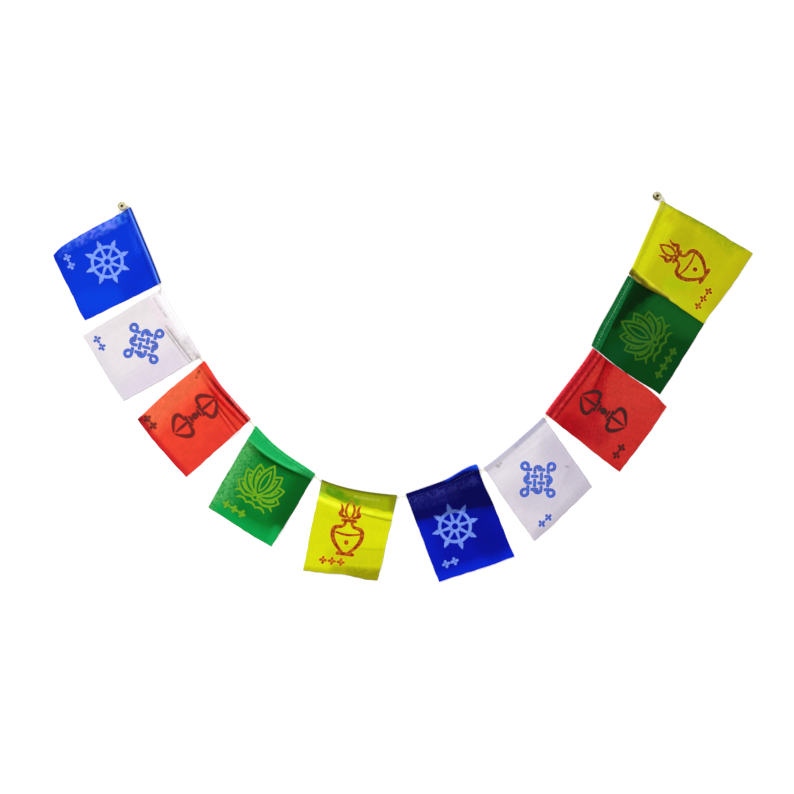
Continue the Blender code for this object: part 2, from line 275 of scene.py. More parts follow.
# Places where an edge stands out: along which edge, from where through its peak to where, how far
# out, and how deep into the flag the cloth gives with it.
Stray = namedtuple("Stray", "flag edge start peak end out depth")
STRAYS = (
    *rows_of(
        Stray, "flag_01_blue",
        ("foot", 0.66, 0.86, 1.02, 0.7, 10.0),
        ("left", -0.30, 0.03, 0.24, 0.7, 8.0),
    ),
    *rows_of(
        Stray, "flag_03_red",
        ("casing", 0.34, 0.62, 0.92, 0.7, 8.0),
    ),
    *rows_of(
        Stray, "flag_05_yellow",
        ("casing", 0.0, 0.6, 1.2, 0.7, 8.0),
        ("foot", -0.2, 0.3, 0.6, 0.5, 10.0),
        ("foot", 0.50, 0.86, 1.10, 1.5, 8.0),
    ),
    *rows_of(
        Stray, "flag_06_blue",
        ("casing", 0.50, 0.975, 1.12, 5.2, 9.0),
        ("right", -0.06, 0.0, 0.14, 1.6, 9.0),
    ),
    *rows_of(
        Stray, "flag_08_red",
        ("right", -0.50, 0.40, 1.20, 2.2, 12.0),
        ("right", -0.60, 0.00, 0.34, 2.5, 12.0),
        ("right", 0.42, 0.80, 1.02, 2.2, 12.0),
    ),
    *rows_of(
        Stray, "flag_09_green",
        ("left", -0.40, 0.25, 1.15, 2.5, 12.0),
        ("right", -0.30, 0.00, 0.12, 0.6, 7.0),
        ("casing", -0.10, 0.20, 0.60, 0.8, 8.0),
    ),
    *rows_of(
        Stray, "flag_10_yellow",
        ("left", -0.22, 0.12, 0.60, 4.0, 5.0),
    ),
)

# Each flag's colours, red, green and blue out of 255: the single cloth, and where it lies double.
# The double colour carries painted shade where two layers let less light through, and painted light where a
# raised casing band faces the light.
Look = namedtuple("Look", "field double")
LOOKS = {
    "flag_01_blue": Look((0, 52, 216), (0, 50, 212)),
    "flag_02_white": Look((234, 228, 232), (240, 234, 238)),
    "flag_03_red": Look((240, 65, 45), (226, 42, 42)),
    "flag_04_green": Look((0, 126, 40), (20, 182, 92)),
    "flag_05_yellow": Look((220, 225, 0), (165, 180, 0)),
    "flag_06_blue": Look((0, 13, 170), (0, 0, 94)),
    "flag_07_white": Look((222, 215, 225), (214, 208, 220)),
    "flag_08_red": Look((198, 33, 33), (192, 24, 36)),
    "flag_09_green": Look((0, 66, 14), (12, 114, 52)),
    "flag_10_yellow": Look((193, 190, 4), (199, 200, 6)),
}

# Painted light and shade, with some uneven tone and marks in the dye, from one point of a flag to
# another: sheen and highlights where the cloth turns to the light, and shadows along folds, creases,
# casings and curled edges. The colour out of 255, how far it reaches, how strong it is, and the
# size of its flecks, or 0 for none.
LightAndTone = namedtuple("LightAndTone", "flag u0 v0 u1 v1 reach colour strength flecks")
PAINTED_LIGHT_AND_TONES = (
    *rows_of(
        LightAndTone, "flag_01_blue",
        # Painted shade along the casing's outer edge.
        (0.00, -0.018, 1.00, -0.018, 1.6, (0, 30, 128), 1.0, 0.0),
        (0.00, 0.010, 1.00, 0.010, 1.2, (108, 156, 255), 1.0, 0.0),
        (0.02, 0.050, 1.00, 0.050, 1.1, (0, 30, 176), 0.6, 0.0),
        # Painted sheen along the left edge.
        (0.04, 0.12, 0.03, 0.36, 9.0, (80, 140, 245), 0.9, 4.0),
        (0.06, 0.24, 0.04, 0.66, 8.0, (118, 128, 250), 0.9, 3.4),
        (0.00, 0.58, 0.05, 0.90, 7.0, (80, 118, 230), 0.8, 3.0),
        (0.00, 0.97, 0.12, 1.00, 4.5, (0, 24, 160), 0.6, 2.4),
        (0.12, 0.90, 0.40, 1.00, 9.0, (0, 44, 205), 0.5, 0.0),
        (0.74, 0.16, 0.86, 0.30, 16.0, (0, 38, 205), 0.6, 0.0),
        (0.78, 0.86, 0.90, 0.62, 16.0, (0, 66, 232), 0.7, 0.0),
        (0.20, 0.06, 0.50, 0.09, 5.0, (30, 90, 250), 0.5, 3.0),
    ),
    *rows_of(
        LightAndTone, "flag_02_white",
        (0.44, 0.150, 0.98, 0.100, 1.2, (158, 146, 146), 0.85, 0.0),
        (0.47, 0.180, 1.00, 0.136, 1.0, (176, 164, 166), 0.75, 0.0),
        (0.50, 0.120, 1.00, 0.074, 1.4, (200, 190, 190), 0.6, 3.0),
        (0.72, 0.060, 1.00, 0.035, 2.6, (200, 190, 190), 0.7, 2.0),
        (0.02, 0.020, 0.62, 0.010, 6.0, (255, 254, 255), 0.95, 0.0),
        (0.10, 0.16, 0.46, 0.16, 5.0, (236, 218, 226), 0.5, 0.0),
        (0.06, 0.115, 0.34, 0.095, 1.4, (190, 180, 186), 0.6, 2.4),
        (0.96, 0.01, 1.00, 0.03, 2.4, (150, 136, 134), 0.6, 1.6),
        (0.00, 0.02, 0.04, 0.03, 2.4, (150, 142, 146), 0.6, 1.6),
        (0.88, 0.30, 0.92, 0.85, 20.0, (226, 214, 230), 0.8, 0.0),
        (0.30, 0.98, 0.95, 0.98, 9.0, (222, 217, 226), 0.6, 0.0),
        (0.10, 0.40, 0.30, 0.60, 20.0, (236, 230, 230), 0.6, 0.0),
    ),
    *rows_of(
        LightAndTone, "flag_03_red",
        (0.00, 0.02, 0.20, 0.02, 5.0, (240, 28, 18), 0.95, 0.0),
        (0.02, 0.055, 0.40, 0.032, 2.1, (138, 0, 0), 1.0, 0.0),
        (0.36, 0.032, 1.00, 0.022, 2.1, (142, 0, 0), 1.0, 0.0),
        (0.58, 0.026, 0.70, 0.024, 1.5, (70, 0, 0), 0.8, 0.0),
        (0.20, -0.006, 0.70, -0.010, 1.5, (226, 60, 72), 0.9, 0.0),
        (0.86, 0.030, 1.00, 0.030, 3.0, (170, 0, 8), 0.7, 2.0),
        (0.26, 0.068, 0.98, 0.056, 1.3, (255, 98, 84), 0.8, 0.0),
        (0.40, 0.092, 0.80, 0.086, 3.0, (232, 16, 14), 0.8, 3.4),
        (0.02, 0.112, 0.50, 0.106, 1.3, (172, 4, 6), 0.8, 0.0),
        (0.50, 0.106, 1.00, 0.093, 1.2, (180, 8, 14), 0.8, 0.0),
        (0.62, -0.008, 1.00, -0.008, 1.4, (252, 170, 176), 0.8, 1.5),
        (0.05, 0.22, 0.08, 0.86, 13.0, (255, 128, 92), 0.95, 1.9),
        (0.10, 0.15, 0.14, 0.90, 19.0, (255, 108, 68), 0.8, 0.0),
        (0.08, 0.24, 0.11, 0.84, 9.0, (206, 92, 58), 0.35, 1.2),
        (0.04, 0.995, 1.00, 0.995, 7.0, (205, 22, 34), 0.9, 0.0),
        (0.00, 0.99, 0.05, 0.99, 5.0, (116, 0, 12), 0.9, 1.8),
        (0.02, 0.93, 0.20, 0.96, 3.4, (120, 10, 20), 0.7, 1.8),
        (0.47, 0.145, 1.00, 0.190, 1.3, (176, 10, 14), 0.9, 0.0),
        (0.50, 0.175, 1.00, 0.225, 1.3, (255, 104, 76), 0.8, 0.0),
        (0.62, 0.195, 0.98, 0.250, 1.3, (186, 20, 18), 0.85, 0.0),
        (0.06, 0.10, 0.10, 0.16, 2.2, (130, 50, 20), 0.8, 1.4),
        (0.90, 0.26, 0.95, 0.90, 12.0, (232, 56, 46), 0.6, 0.0),
    ),
    *rows_of(
        LightAndTone, "flag_04_green",
        (0.00, 0.005, 1.00, 0.005, 1.4, (78, 216, 134), 0.7, 2.4),
        (0.00, 0.150, 1.00, 0.042, 1.2, (70, 205, 125), 0.7, 0.0),
        # Painted shadow under the front hem's edge.
        (0.00, 0.215, 1.00, 0.100, 3.8, (0, 98, 22), 0.9, 0.0),
        (0.02, 0.192, 1.00, 0.082, 1.7, (0, 62, 4), 0.95, 0.0),
        (0.70, 0.050, 0.99, 0.040, 2.2, (96, 208, 134), 0.7, 1.9),
        (0.02, 0.26, 0.04, 0.94, 12.0, (118, 200, 118), 0.85, 1.7),
        (0.06, 0.30, 0.10, 0.92, 21.0, (82, 178, 88), 0.85, 2.2),
        (0.95, 0.20, 0.95, 0.62, 19.0, (0, 92, 24), 0.95, 0.0),
        (0.60, 0.24, 0.60, 0.40, 9.0, (0, 112, 44), 0.7, 0.0),
        (0.20, 1.00, 0.95, 0.97, 15.0, (0, 166, 72), 0.95, 0.0),
        (0.94, 0.80, 0.98, 1.00, 7.0, (10, 178, 84), 0.7, 0.0),
    ),
    *rows_of(
        LightAndTone, "flag_05_yellow",
        (0.00, -0.01, 1.00, -0.01, 2.3, (104, 110, 0), 0.95, 0.0),
        (0.10, 0.055, 0.66, 0.100, 6.5, (150, 168, 0), 0.7, 3.0),
        # Painted shade in the valley below the casing.
        (0.13, 0.062, 0.27, 0.078, 5.6, (70, 148, 0), 0.95, 0.0),
        (0.20, 0.085, 0.50, 0.118, 4.6, (98, 154, 0), 0.8, 0.0),
        (0.05, 0.050, 0.20, 0.060, 3.0, (166, 186, 40), 0.6, 1.6),
        (0.46, 0.055, 0.78, 0.055, 1.6, (206, 214, 110), 0.7, 1.5),
        (0.97, 0.03, 1.00, 0.13, 7.0, (138, 142, 0), 0.9, 0.0),
        (0.00, 0.04, 0.02, 0.10, 5.0, (150, 180, 60), 0.8, 1.6),
        (0.00, 0.15, 0.10, 0.16, 3.4, (150, 225, 30), 0.7, 0.0),
        # Painted highlight on the ridge below it.
        (0.02, 0.185, 0.70, 0.225, 3.6, (250, 255, 44), 0.95, 0.0),
        (0.60, 0.220, 1.00, 0.235, 2.6, (240, 250, 30), 0.8, 0.0),
        (0.60, 0.240, 1.00, 0.290, 1.1, (160, 158, 0), 0.85, 0.0),
        (0.50, 0.40, 0.94, 0.44, 13.0, (228, 232, 0), 0.6, 0.0),
        (0.50, 0.66, 0.98, 0.64, 1.2, (186, 186, 0), 0.6, 0.0),
        (0.40, 0.80, 0.98, 0.76, 14.0, (204, 206, 0), 0.8, 0.0),
        (0.46, 1.00, 1.00, 0.96, 11.0, (160, 156, 0), 0.95, 0.0),
        (0.06, 1.01, 0.60, 0.97, 6.5, (184, 182, 0), 0.8, 0.0),
        (0.60, 0.94, 0.96, 0.92, 5.0, (140, 140, 0), 0.6, 2.4),
        (0.60, 1.00, 1.00, 1.00, 3.0, (150, 144, 0), 0.8, 1.8),
    ),
    *rows_of(
        LightAndTone, "flag_06_blue",
        (0.80, -0.045, 1.00, 0.000, 4.2, (14, 86, 240), 1.0, 0.0),
        (0.58, -0.020, 0.92, -0.030, 3.4, (10, 66, 225), 0.95, 0.0),
        (0.70, -0.010, 0.98, 0.010, 1.1, (0, 24, 170), 0.7, 2.0),
        (0.62, 0.015, 1.00, 0.045, 1.5, (0, 0, 66), 0.9, 0.0),
        (0.02, 0.07, 0.90, 0.10, 5.5, (62, 66, 150), 0.75, 1.7),
        (0.04, 0.14, 0.60, 0.17, 6.0, (34, 34, 126), 0.7, 1.9),
        (0.70, 0.20, 0.94, 0.30, 20.0, (0, 0, 74), 0.5, 0.0),
        (0.02, 0.46, 0.02, 0.98, 14.0, (0, 26, 196), 0.8, 0.0),
        (0.02, 1.00, 0.98, 0.99, 12.0, (0, 36, 216), 0.95, 0.0),
        (0.70, 0.58, 0.80, 0.80, 18.0, (0, 8, 146), 0.8, 0.0),
        (0.02, 0.30, 0.40, 0.335, 1.6, (0, 8, 120), 0.7, 0.0),
    ),
    *rows_of(
        LightAndTone, "flag_07_white",
        (0.50, -0.005, 1.00, -0.005, 4.6, (172, 170, 200), 0.95, 0.0),
        (0.00, -0.01, 0.55, -0.01, 2.4, (190, 188, 212), 0.8, 0.0),
        (0.55, 0.055, 1.00, 0.062, 1.1, (238, 234, 240), 0.7, 0.0),
        (0.10, 0.16, 0.90, 0.14, 14.0, (232, 227, 235), 0.9, 0.0),
        (0.02, 0.34, 0.98, 0.34, 1.0, (224, 217, 228), 0.6, 0.0),
        (0.90, 0.36, 0.92, 0.92, 22.0, (206, 198, 214), 0.9, 0.0),
        (0.30, 0.58, 0.50, 0.80, 18.0, (206, 199, 216), 0.6, 0.0),
        (0.10, 1.00, 1.00, 0.98, 10.0, (198, 190, 204), 0.9, 0.0),
        (0.15, 0.05, 0.17, 0.07, 1.8, (128, 122, 130), 0.8, 1.5),
        (0.20, 0.06, 0.22, 0.06, 1.2, (150, 144, 150), 0.7, 0.0),
        (0.87, 0.60, 0.89, 0.62, 1.2, (150, 142, 150), 0.7, 0.0),
    ),
    *rows_of(
        LightAndTone, "flag_08_red",
        (0.00, -0.01, 1.00, -0.01, 3.0, (240, 52, 76), 0.95, 2.6),
        (0.00, 0.036, 1.00, 0.036, 1.3, (132, 2, 14), 0.8, 2.4),
        (0.00, 0.072, 1.00, 0.072, 1.2, (228, 78, 66), 0.85, 2.4),
        (0.05, 0.102, 1.00, 0.106, 1.5, (130, 4, 14), 0.75, 2.6),
        (0.98, 0.22, 0.66, 0.30, 6.5, (168, 0, 14), 0.95, 0.0),
        (1.00, 0.18, 0.62, 0.25, 1.4, (112, 0, 6), 0.9, 0.0),
        (0.70, 0.30, 0.30, 0.44, 9.0, (170, 0, 18), 0.95, 0.0),
        (0.08, 0.26, 0.20, 0.58, 14.0, (166, 0, 18), 0.95, 0.0),
        (0.10, 0.26, 0.40, 0.22, 7.0, (196, 24, 28), 0.6, 1.9),
        (0.30, 0.60, 0.80, 0.60, 34.0, (226, 84, 68), 0.5, 0.9),
        (0.84, 0.44, 0.90, 0.92, 24.0, (212, 58, 46), 0.9, 1.9),
        (0.20, 0.96, 0.95, 0.97, 15.0, (208, 52, 44), 0.8, 1.9),
        (0.60, 0.17, 0.86, 0.15, 5.0, (212, 62, 52), 0.8, 1.9),
        (0.92, 0.98, 1.00, 0.94, 2.0, (140, 22, 22), 0.3, 0.0),
    ),
    *rows_of(
        LightAndTone, "flag_09_green",
        (0.00, 0.034, 1.00, 0.028, 3.6, (84, 166, 114), 0.5, 1.8),
        (0.00, 0.066, 1.00, 0.058, 2.4, (0, 70, 26), 0.6, 2.2),
        (0.00, 0.006, 1.00, 0.006, 2.2, (0, 92, 30), 0.7, 1.9),
        (0.00, -0.02, 1.00, -0.02, 1.8, (10, 92, 40), 0.8, 0.0),
        (0.00, 0.108, 0.50, 0.100, 1.2, (4, 62, 22), 0.8, 0.0),
        (0.99, 0.42, 0.34, 0.21, 3.4, (6, 88, 30), 0.6, 0.0),
        # Painted shadow of flag 10 over this flag's upper right.
        (1.00, 0.13, 0.36, 0.13, 4.4, (0, 42, 6), 1.0, 0.0),
        (1.00, 0.17, 0.50, 0.15, 4.6, (0, 40, 6), 1.0, 0.0),
        (1.00, 0.22, 0.66, 0.19, 4.8, (0, 36, 4), 1.0, 0.0),
        (1.00, 0.28, 0.80, 0.24, 4.8, (0, 34, 4), 1.0, 0.0),
        (1.00, 0.33, 0.92, 0.30, 4.4, (0, 34, 4), 1.0, 0.0),
        (0.84, 0.50, 0.88, 0.90, 19.0, (14, 94, 30), 0.9, 0.0),
        (0.10, 0.30, 0.50, 0.50, 14.0, (2, 80, 38), 0.6, 0.0),
        (0.10, 0.98, 0.60, 0.98, 12.0, (0, 66, 20), 0.7, 0.0),
    ),
    *rows_of(
        LightAndTone, "flag_10_yellow",
        (0.00, 0.04, 0.90, 0.14, 12.0, (214, 218, 6), 0.9, 0.0),
        (0.86, 0.14, 0.95, 0.24, 8.0, (198, 188, 10), 0.6, 0.0),
        (0.96, 0.20, 0.97, 0.96, 3.6, (146, 166, 8), 0.55, 3.1),
        (0.99, 0.40, 0.99, 0.90, 1.8, (96, 136, 20), 0.6, 2.7),
        (0.95, 0.50, 0.90, 0.80, 7.0, (160, 178, 4), 0.7, 2.6),
        (0.985, 0.03, 0.985, 0.44, 2.2, (128, 140, 16), 0.6, 1.6),
        (0.50, 0.36, 0.74, 0.34, 15.0, (184, 180, 4), 0.7, 0.0),
        (0.16, 0.44, 0.30, 0.60, 9.0, (176, 198, 0), 0.8, 0.0),
        (0.04, 0.46, 0.10, 0.98, 9.0, (196, 206, 8), 0.7, 0.0),
        (0.20, 0.98, 0.95, 0.98, 10.0, (192, 186, 6), 0.8, 0.0),
        (0.90, 0.01, 0.99, 0.06, 3.4, (206, 212, 110), 0.7, 1.5),
        # Painted shade where the left edge curls down.
        (0.00, -0.01, 0.00, 0.20, 4.8, (98, 90, 4), 1.0, 0.0),
        (0.00, -0.01, 0.00, 0.20, 4.2, (98, 90, 4), 1.0, 0.0),
        (0.00, 0.16, 0.00, 0.50, 3.2, (98, 90, 4), 1.0, 0.0),
        (0.006, 0.05, 0.004, 0.15, 1.3, (168, 152, 66), 0.9, 0.0),
        (0.060, 0.03, 0.040, 0.30, 1.2, (228, 226, 40), 0.9, 0.0),
        (0.040, 0.30, 0.022, 0.60, 1.1, (216, 208, 60), 0.8, 0.0),
    ),
)

# The dyes and the inks that the colours above were chosen with.
DYES = {
    "blue": (0, 50, 220),
    "white": (232, 226, 231),
    "red": (240, 65, 45),
    "green": (0, 125, 50),
    "yellow": (220, 225, 0),
}
# Printing ink: its body, its pressed rim, the stain round it, and how well it covers.
Ink = namedtuple("Ink", "body rim stain cover")
INKS = {
    "blue": Ink((134, 168, 248), (112, 146, 240), (0, 20, 150), 1.0),
    "white": Ink((42, 100, 214), (16, 44, 146), (206, 206, 246), 1.0),
    "red": Ink((44, 34, 36), (46, 18, 18), (176, 20, 24), 1.0),
    "green": Ink((108, 172, 4), (136, 190, 14), (0, 96, 30), 0.95),
    "yellow": Ink((138, 16, 6), (192, 70, 4), (236, 206, 30), 1.0),
}
# The flags sewn with a pale thread.
THREADS = {
    "flag_01_blue": (40, 96, 240),
    "flag_06_blue": (38, 46, 150),
    "flag_09_green": (150, 222, 180),
}
# How unevenly each cloth took its dye.
UNEVEN_DYE = {"blue": 0.08, "white": 0.03, "red": 0.14, "green": 0.10, "yellow": 0.05}
# Where each flag's print lies from the flag's middle, how large it is, its small border ornament
# with its number of flowers, and how hard the block was pressed: over 1, the ink lies thick and dark.
Print = namedtuple("Print", "x y size small_x small_y flowers press")
PRINTS = {
    "flag_01_blue": Print(-3.5, 2.6, 0.96, -20.5, -31.5, 2, 0.95),
    "flag_02_white": Print(-1.0, 3.6, 1.1, -24.5, -34.0, 2, 1.0),
    "flag_03_red": Print(-2.0, 5.0, 0.92, -26.0, -33.0, 2, 0.86),
    "flag_04_green": Print(-1.5, 2.5, 1.0, -13.0, -30.0, 3, 0.8),
    "flag_05_yellow": Print(-2.0, 3.0, 1.0, -14.0, -29.5, 3, 1.0),
    "flag_06_blue": Print(-4.5, 1.4, 0.98, -20.5, -31.5, 2, 0.82),
    "flag_07_white": Print(-1.0, 1.0, 1.1, -24.0, -33.5, 2, 1.0),
    "flag_08_red": Print(-1.5, 3.0, 0.92, -25.0, -33.0, 2, 1.0),
    "flag_09_green": Print(-3.0, 1.5, 1.06, -15.0, -31.0, 4, 0.19),
    "flag_10_yellow": Print(-1.5, 3.0, 1.0, -20.5, -33.0, 3, 1.3),
}

# Each bead's place, the way its string leaves, how dull it has gone, and the side darkened most, by painted
# dark reflection.
Bead = namedtuple("Bead", "x y string_angle dullness dull_side")
BEADS = {
    "bead_left": Bead(-280.7, 180.4, 0.5, 0.42, (-0.8, 0.6)),
    "bead_right": Bead(253.7, 190.5, -13.5, 1.0, (-0.7, -0.7)),
}
BEAD_DIAMETER = 9.2
BEAD_FACE_DIAMETER = 4.8
BEAD_BORE = 2.6
BEAD_SIDE_BORE = 2.2
BEAD_SIDE_BORE_HEIGHT = 2.9
BEAD_LIP = 0.35
BEAD_ARC_STEPS = 30

NO_INK = 9.0
STROKE_STEP = 0.4


def size_property(name, description, default):
    return FloatProperty(name=name, description=description, default=default, unit="LENGTH")


class ClothSettings(bpy.types.PropertyGroup):
    """Sizes of the cloth and its sewing."""

    thickness: size_property("Thickness", "Thickness of the cloth", 0.0003)
    grid_step: size_property("Grid step", "Distance between the mesh's points", 0.0009)
    lie: size_property("Lie", "Height of the cloth's middle where it lies flat", 0.00035)
    ripple: size_property("Ripple", "Height of the small waves in the cloth", 0.0003)
    pucker: size_property("Pucker", "Height of the gathers at the casing", 0.0004)
    yarn_pitch: size_property("Yarn pitch", "Distance from one yarn to the next", 0.0005)
    lightness: FloatProperty(
        name="Lightness", description="Lightness of the dyes", default=0.89, min=0.1, max=1.5
    )
    seam: size_property("Seam", "How far the seam is from the folded edge", 0.0032)
    stitch_spacing: size_property("Stitch spacing", "Distance from one stitch to the next", 0.0028)
    stitch_length: size_property("Stitch length", "Visible length of a stitch", 0.0021)
    stitch_thickness: size_property("Stitch thickness", "Thickness of the sewing thread", 0.0004)


def linear(colour):
    """A colour out of 255 as scene-linear numbers."""
    share = np.asarray(colour, dtype=float) / 255
    return np.where(share <= 0.04045, share / 12.92, ((share + 0.055) / 1.055) ** 2.4)


def colour_property(name, description, colour):
    return FloatVectorProperty(
        name=name,
        description=description,
        default=tuple(linear(colour)),
        subtype="COLOR",
        min=0.0,
        max=1.0,
    )


class DyeSettings(bpy.types.PropertyGroup):
    """Colours of the five cloths."""

    blue: colour_property("Blue", "Dye of the blue flags", DYES["blue"])
    white: colour_property("White", "Colour of the white flags", DYES["white"])
    red: colour_property("Red", "Dye of the red flags", DYES["red"])
    green: colour_property("Green", "Dye of the green flags", DYES["green"])
    yellow: colour_property("Yellow", "Dye of the yellow flags", DYES["yellow"])


class InkSettings(bpy.types.PropertyGroup):
    """Colours of the printing inks."""

    blue: colour_property("On blue", "Ink on the blue flags", INKS["blue"].body)
    white: colour_property("On white", "Ink on the white flags", INKS["white"].body)
    red: colour_property("On red", "Ink on the red flags", INKS["red"].body)
    green: colour_property("On green", "Ink on the green flags", INKS["green"].body)
    yellow: colour_property("On yellow", "Ink on the yellow flags", INKS["yellow"].body)


class StringSettings(bpy.types.PropertyGroup):
    """The string that carries the flags."""

    strands: IntProperty(name="Strands", description="Yarns twisted together", default=3, min=2, max=4)
    twist: size_property("Twist", "Length of one full turn of the strands", 0.0046)
    colour: colour_property("Colour", "Colour of the string", (222, 214, 186))


class BeadSettings(bpy.types.PropertyGroup):
    """The brass beads."""

    sides: IntProperty(name="Sides", description="Sides of the turned bead", default=72, min=12, max=128)
    metal: colour_property("Metal", "Bright metal", (238, 230, 192))
    tarnish: colour_property("Tarnish", "Dull, darkened metal", (104, 92, 46))


class StageSettings(bpy.types.PropertyGroup):
    """Camera, floor and light."""

    view_width: size_property("View width", "Width of floor that the camera sees", 0.794)
    lens: FloatProperty(name="Lens", description="Focal length in millimetres", default=135.0, min=20.0)
    floor: colour_property("Floor", "Colour of the floor", (250, 250, 250))
    glow: FloatProperty(name="Glow", description="Light that the white floor gives off", default=0.2, min=0.0)
    key_power: FloatProperty(
        name="Key light", description="Power of the main light", default=30.0, unit="POWER"
    )
    fill_power: FloatProperty(
        name="Fill light", description="Power of the second light", default=14.0, unit="POWER"
    )
    sky: FloatProperty(name="Sky", description="Strength of the light from all around", default=0.78, min=0.0)


class GarlandSettings(bpy.types.PropertyGroup):
    """All settings of the garland."""

    cloth: PointerProperty(type=ClothSettings)
    dyes: PointerProperty(type=DyeSettings)
    inks: PointerProperty(type=InkSettings)
    string: PointerProperty(type=StringSettings)
    beads: PointerProperty(type=BeadSettings)
    stage: PointerProperty(type=StageSettings)


def settings():
    return bpy.context.scene.garland


# Shapes of the string and of the flags

def smooth_step(x):
    x = np.clip(x, 0.0, 1.0)
    return x * x * (3 - 2 * x)


def mix(a, b, share):
    return a + (b - a) * share


def rounded(corners, steps):
    """A smooth line through the middles of the legs between corners, which pull it outwards."""
    corners = np.asarray(corners, dtype=float)
    middles = (corners[:-1] + corners[1:]) / 2
    middles[0] = corners[0]
    middles[-1] = corners[-1]
    share = np.linspace(0, 1, steps, endpoint=False)[:, None]
    pieces = [
        (1 - share) ** 2 * middles[i - 1] + 2 * share * (1 - share) * corners[i] + share**2 * middles[i]
        for i in range(1, len(corners) - 1)
    ]
    return np.vstack([*pieces, corners[-1:]])


class StringLine:
    """The string's middle line, read by the distance along it."""

    def __init__(self, route):
        self.points = rounded(route, 24)
        steps = np.linalg.norm(np.diff(self.points, axis=0), axis=1)
        self.distances = np.concatenate([[0.0], np.cumsum(steps)])
        self.length = self.distances[-1]

    def at(self, distance):
        return np.stack(
            [np.interp(distance, self.distances, self.points[:, axis]) for axis in range(3)], axis=-1
        )


LINE = StringLine(ROUTE)


def in_frame(points):
    """Points in millimetres as places in the frame, in metres."""
    return (np.asarray(points) - np.array([*CENTRE, 0.0])) * MM


def bow_share(v, peak):
    away = np.where(v < peak, (peak - v) / peak, (v - peak) / (1 - peak))
    return 1 - np.abs(away) ** 1.4


def nearness(points, start, end, reach):
    """1 on the line from start to end, falling softly to 0 at that reach from it."""
    run = end - start
    share = np.clip((points - start) @ run / (run @ run), 0, 1)
    away = np.linalg.norm(points - start - share[:, None] * run, axis=1) / reach
    return (1 - np.clip(away, 0, 1) ** 2) ** 2


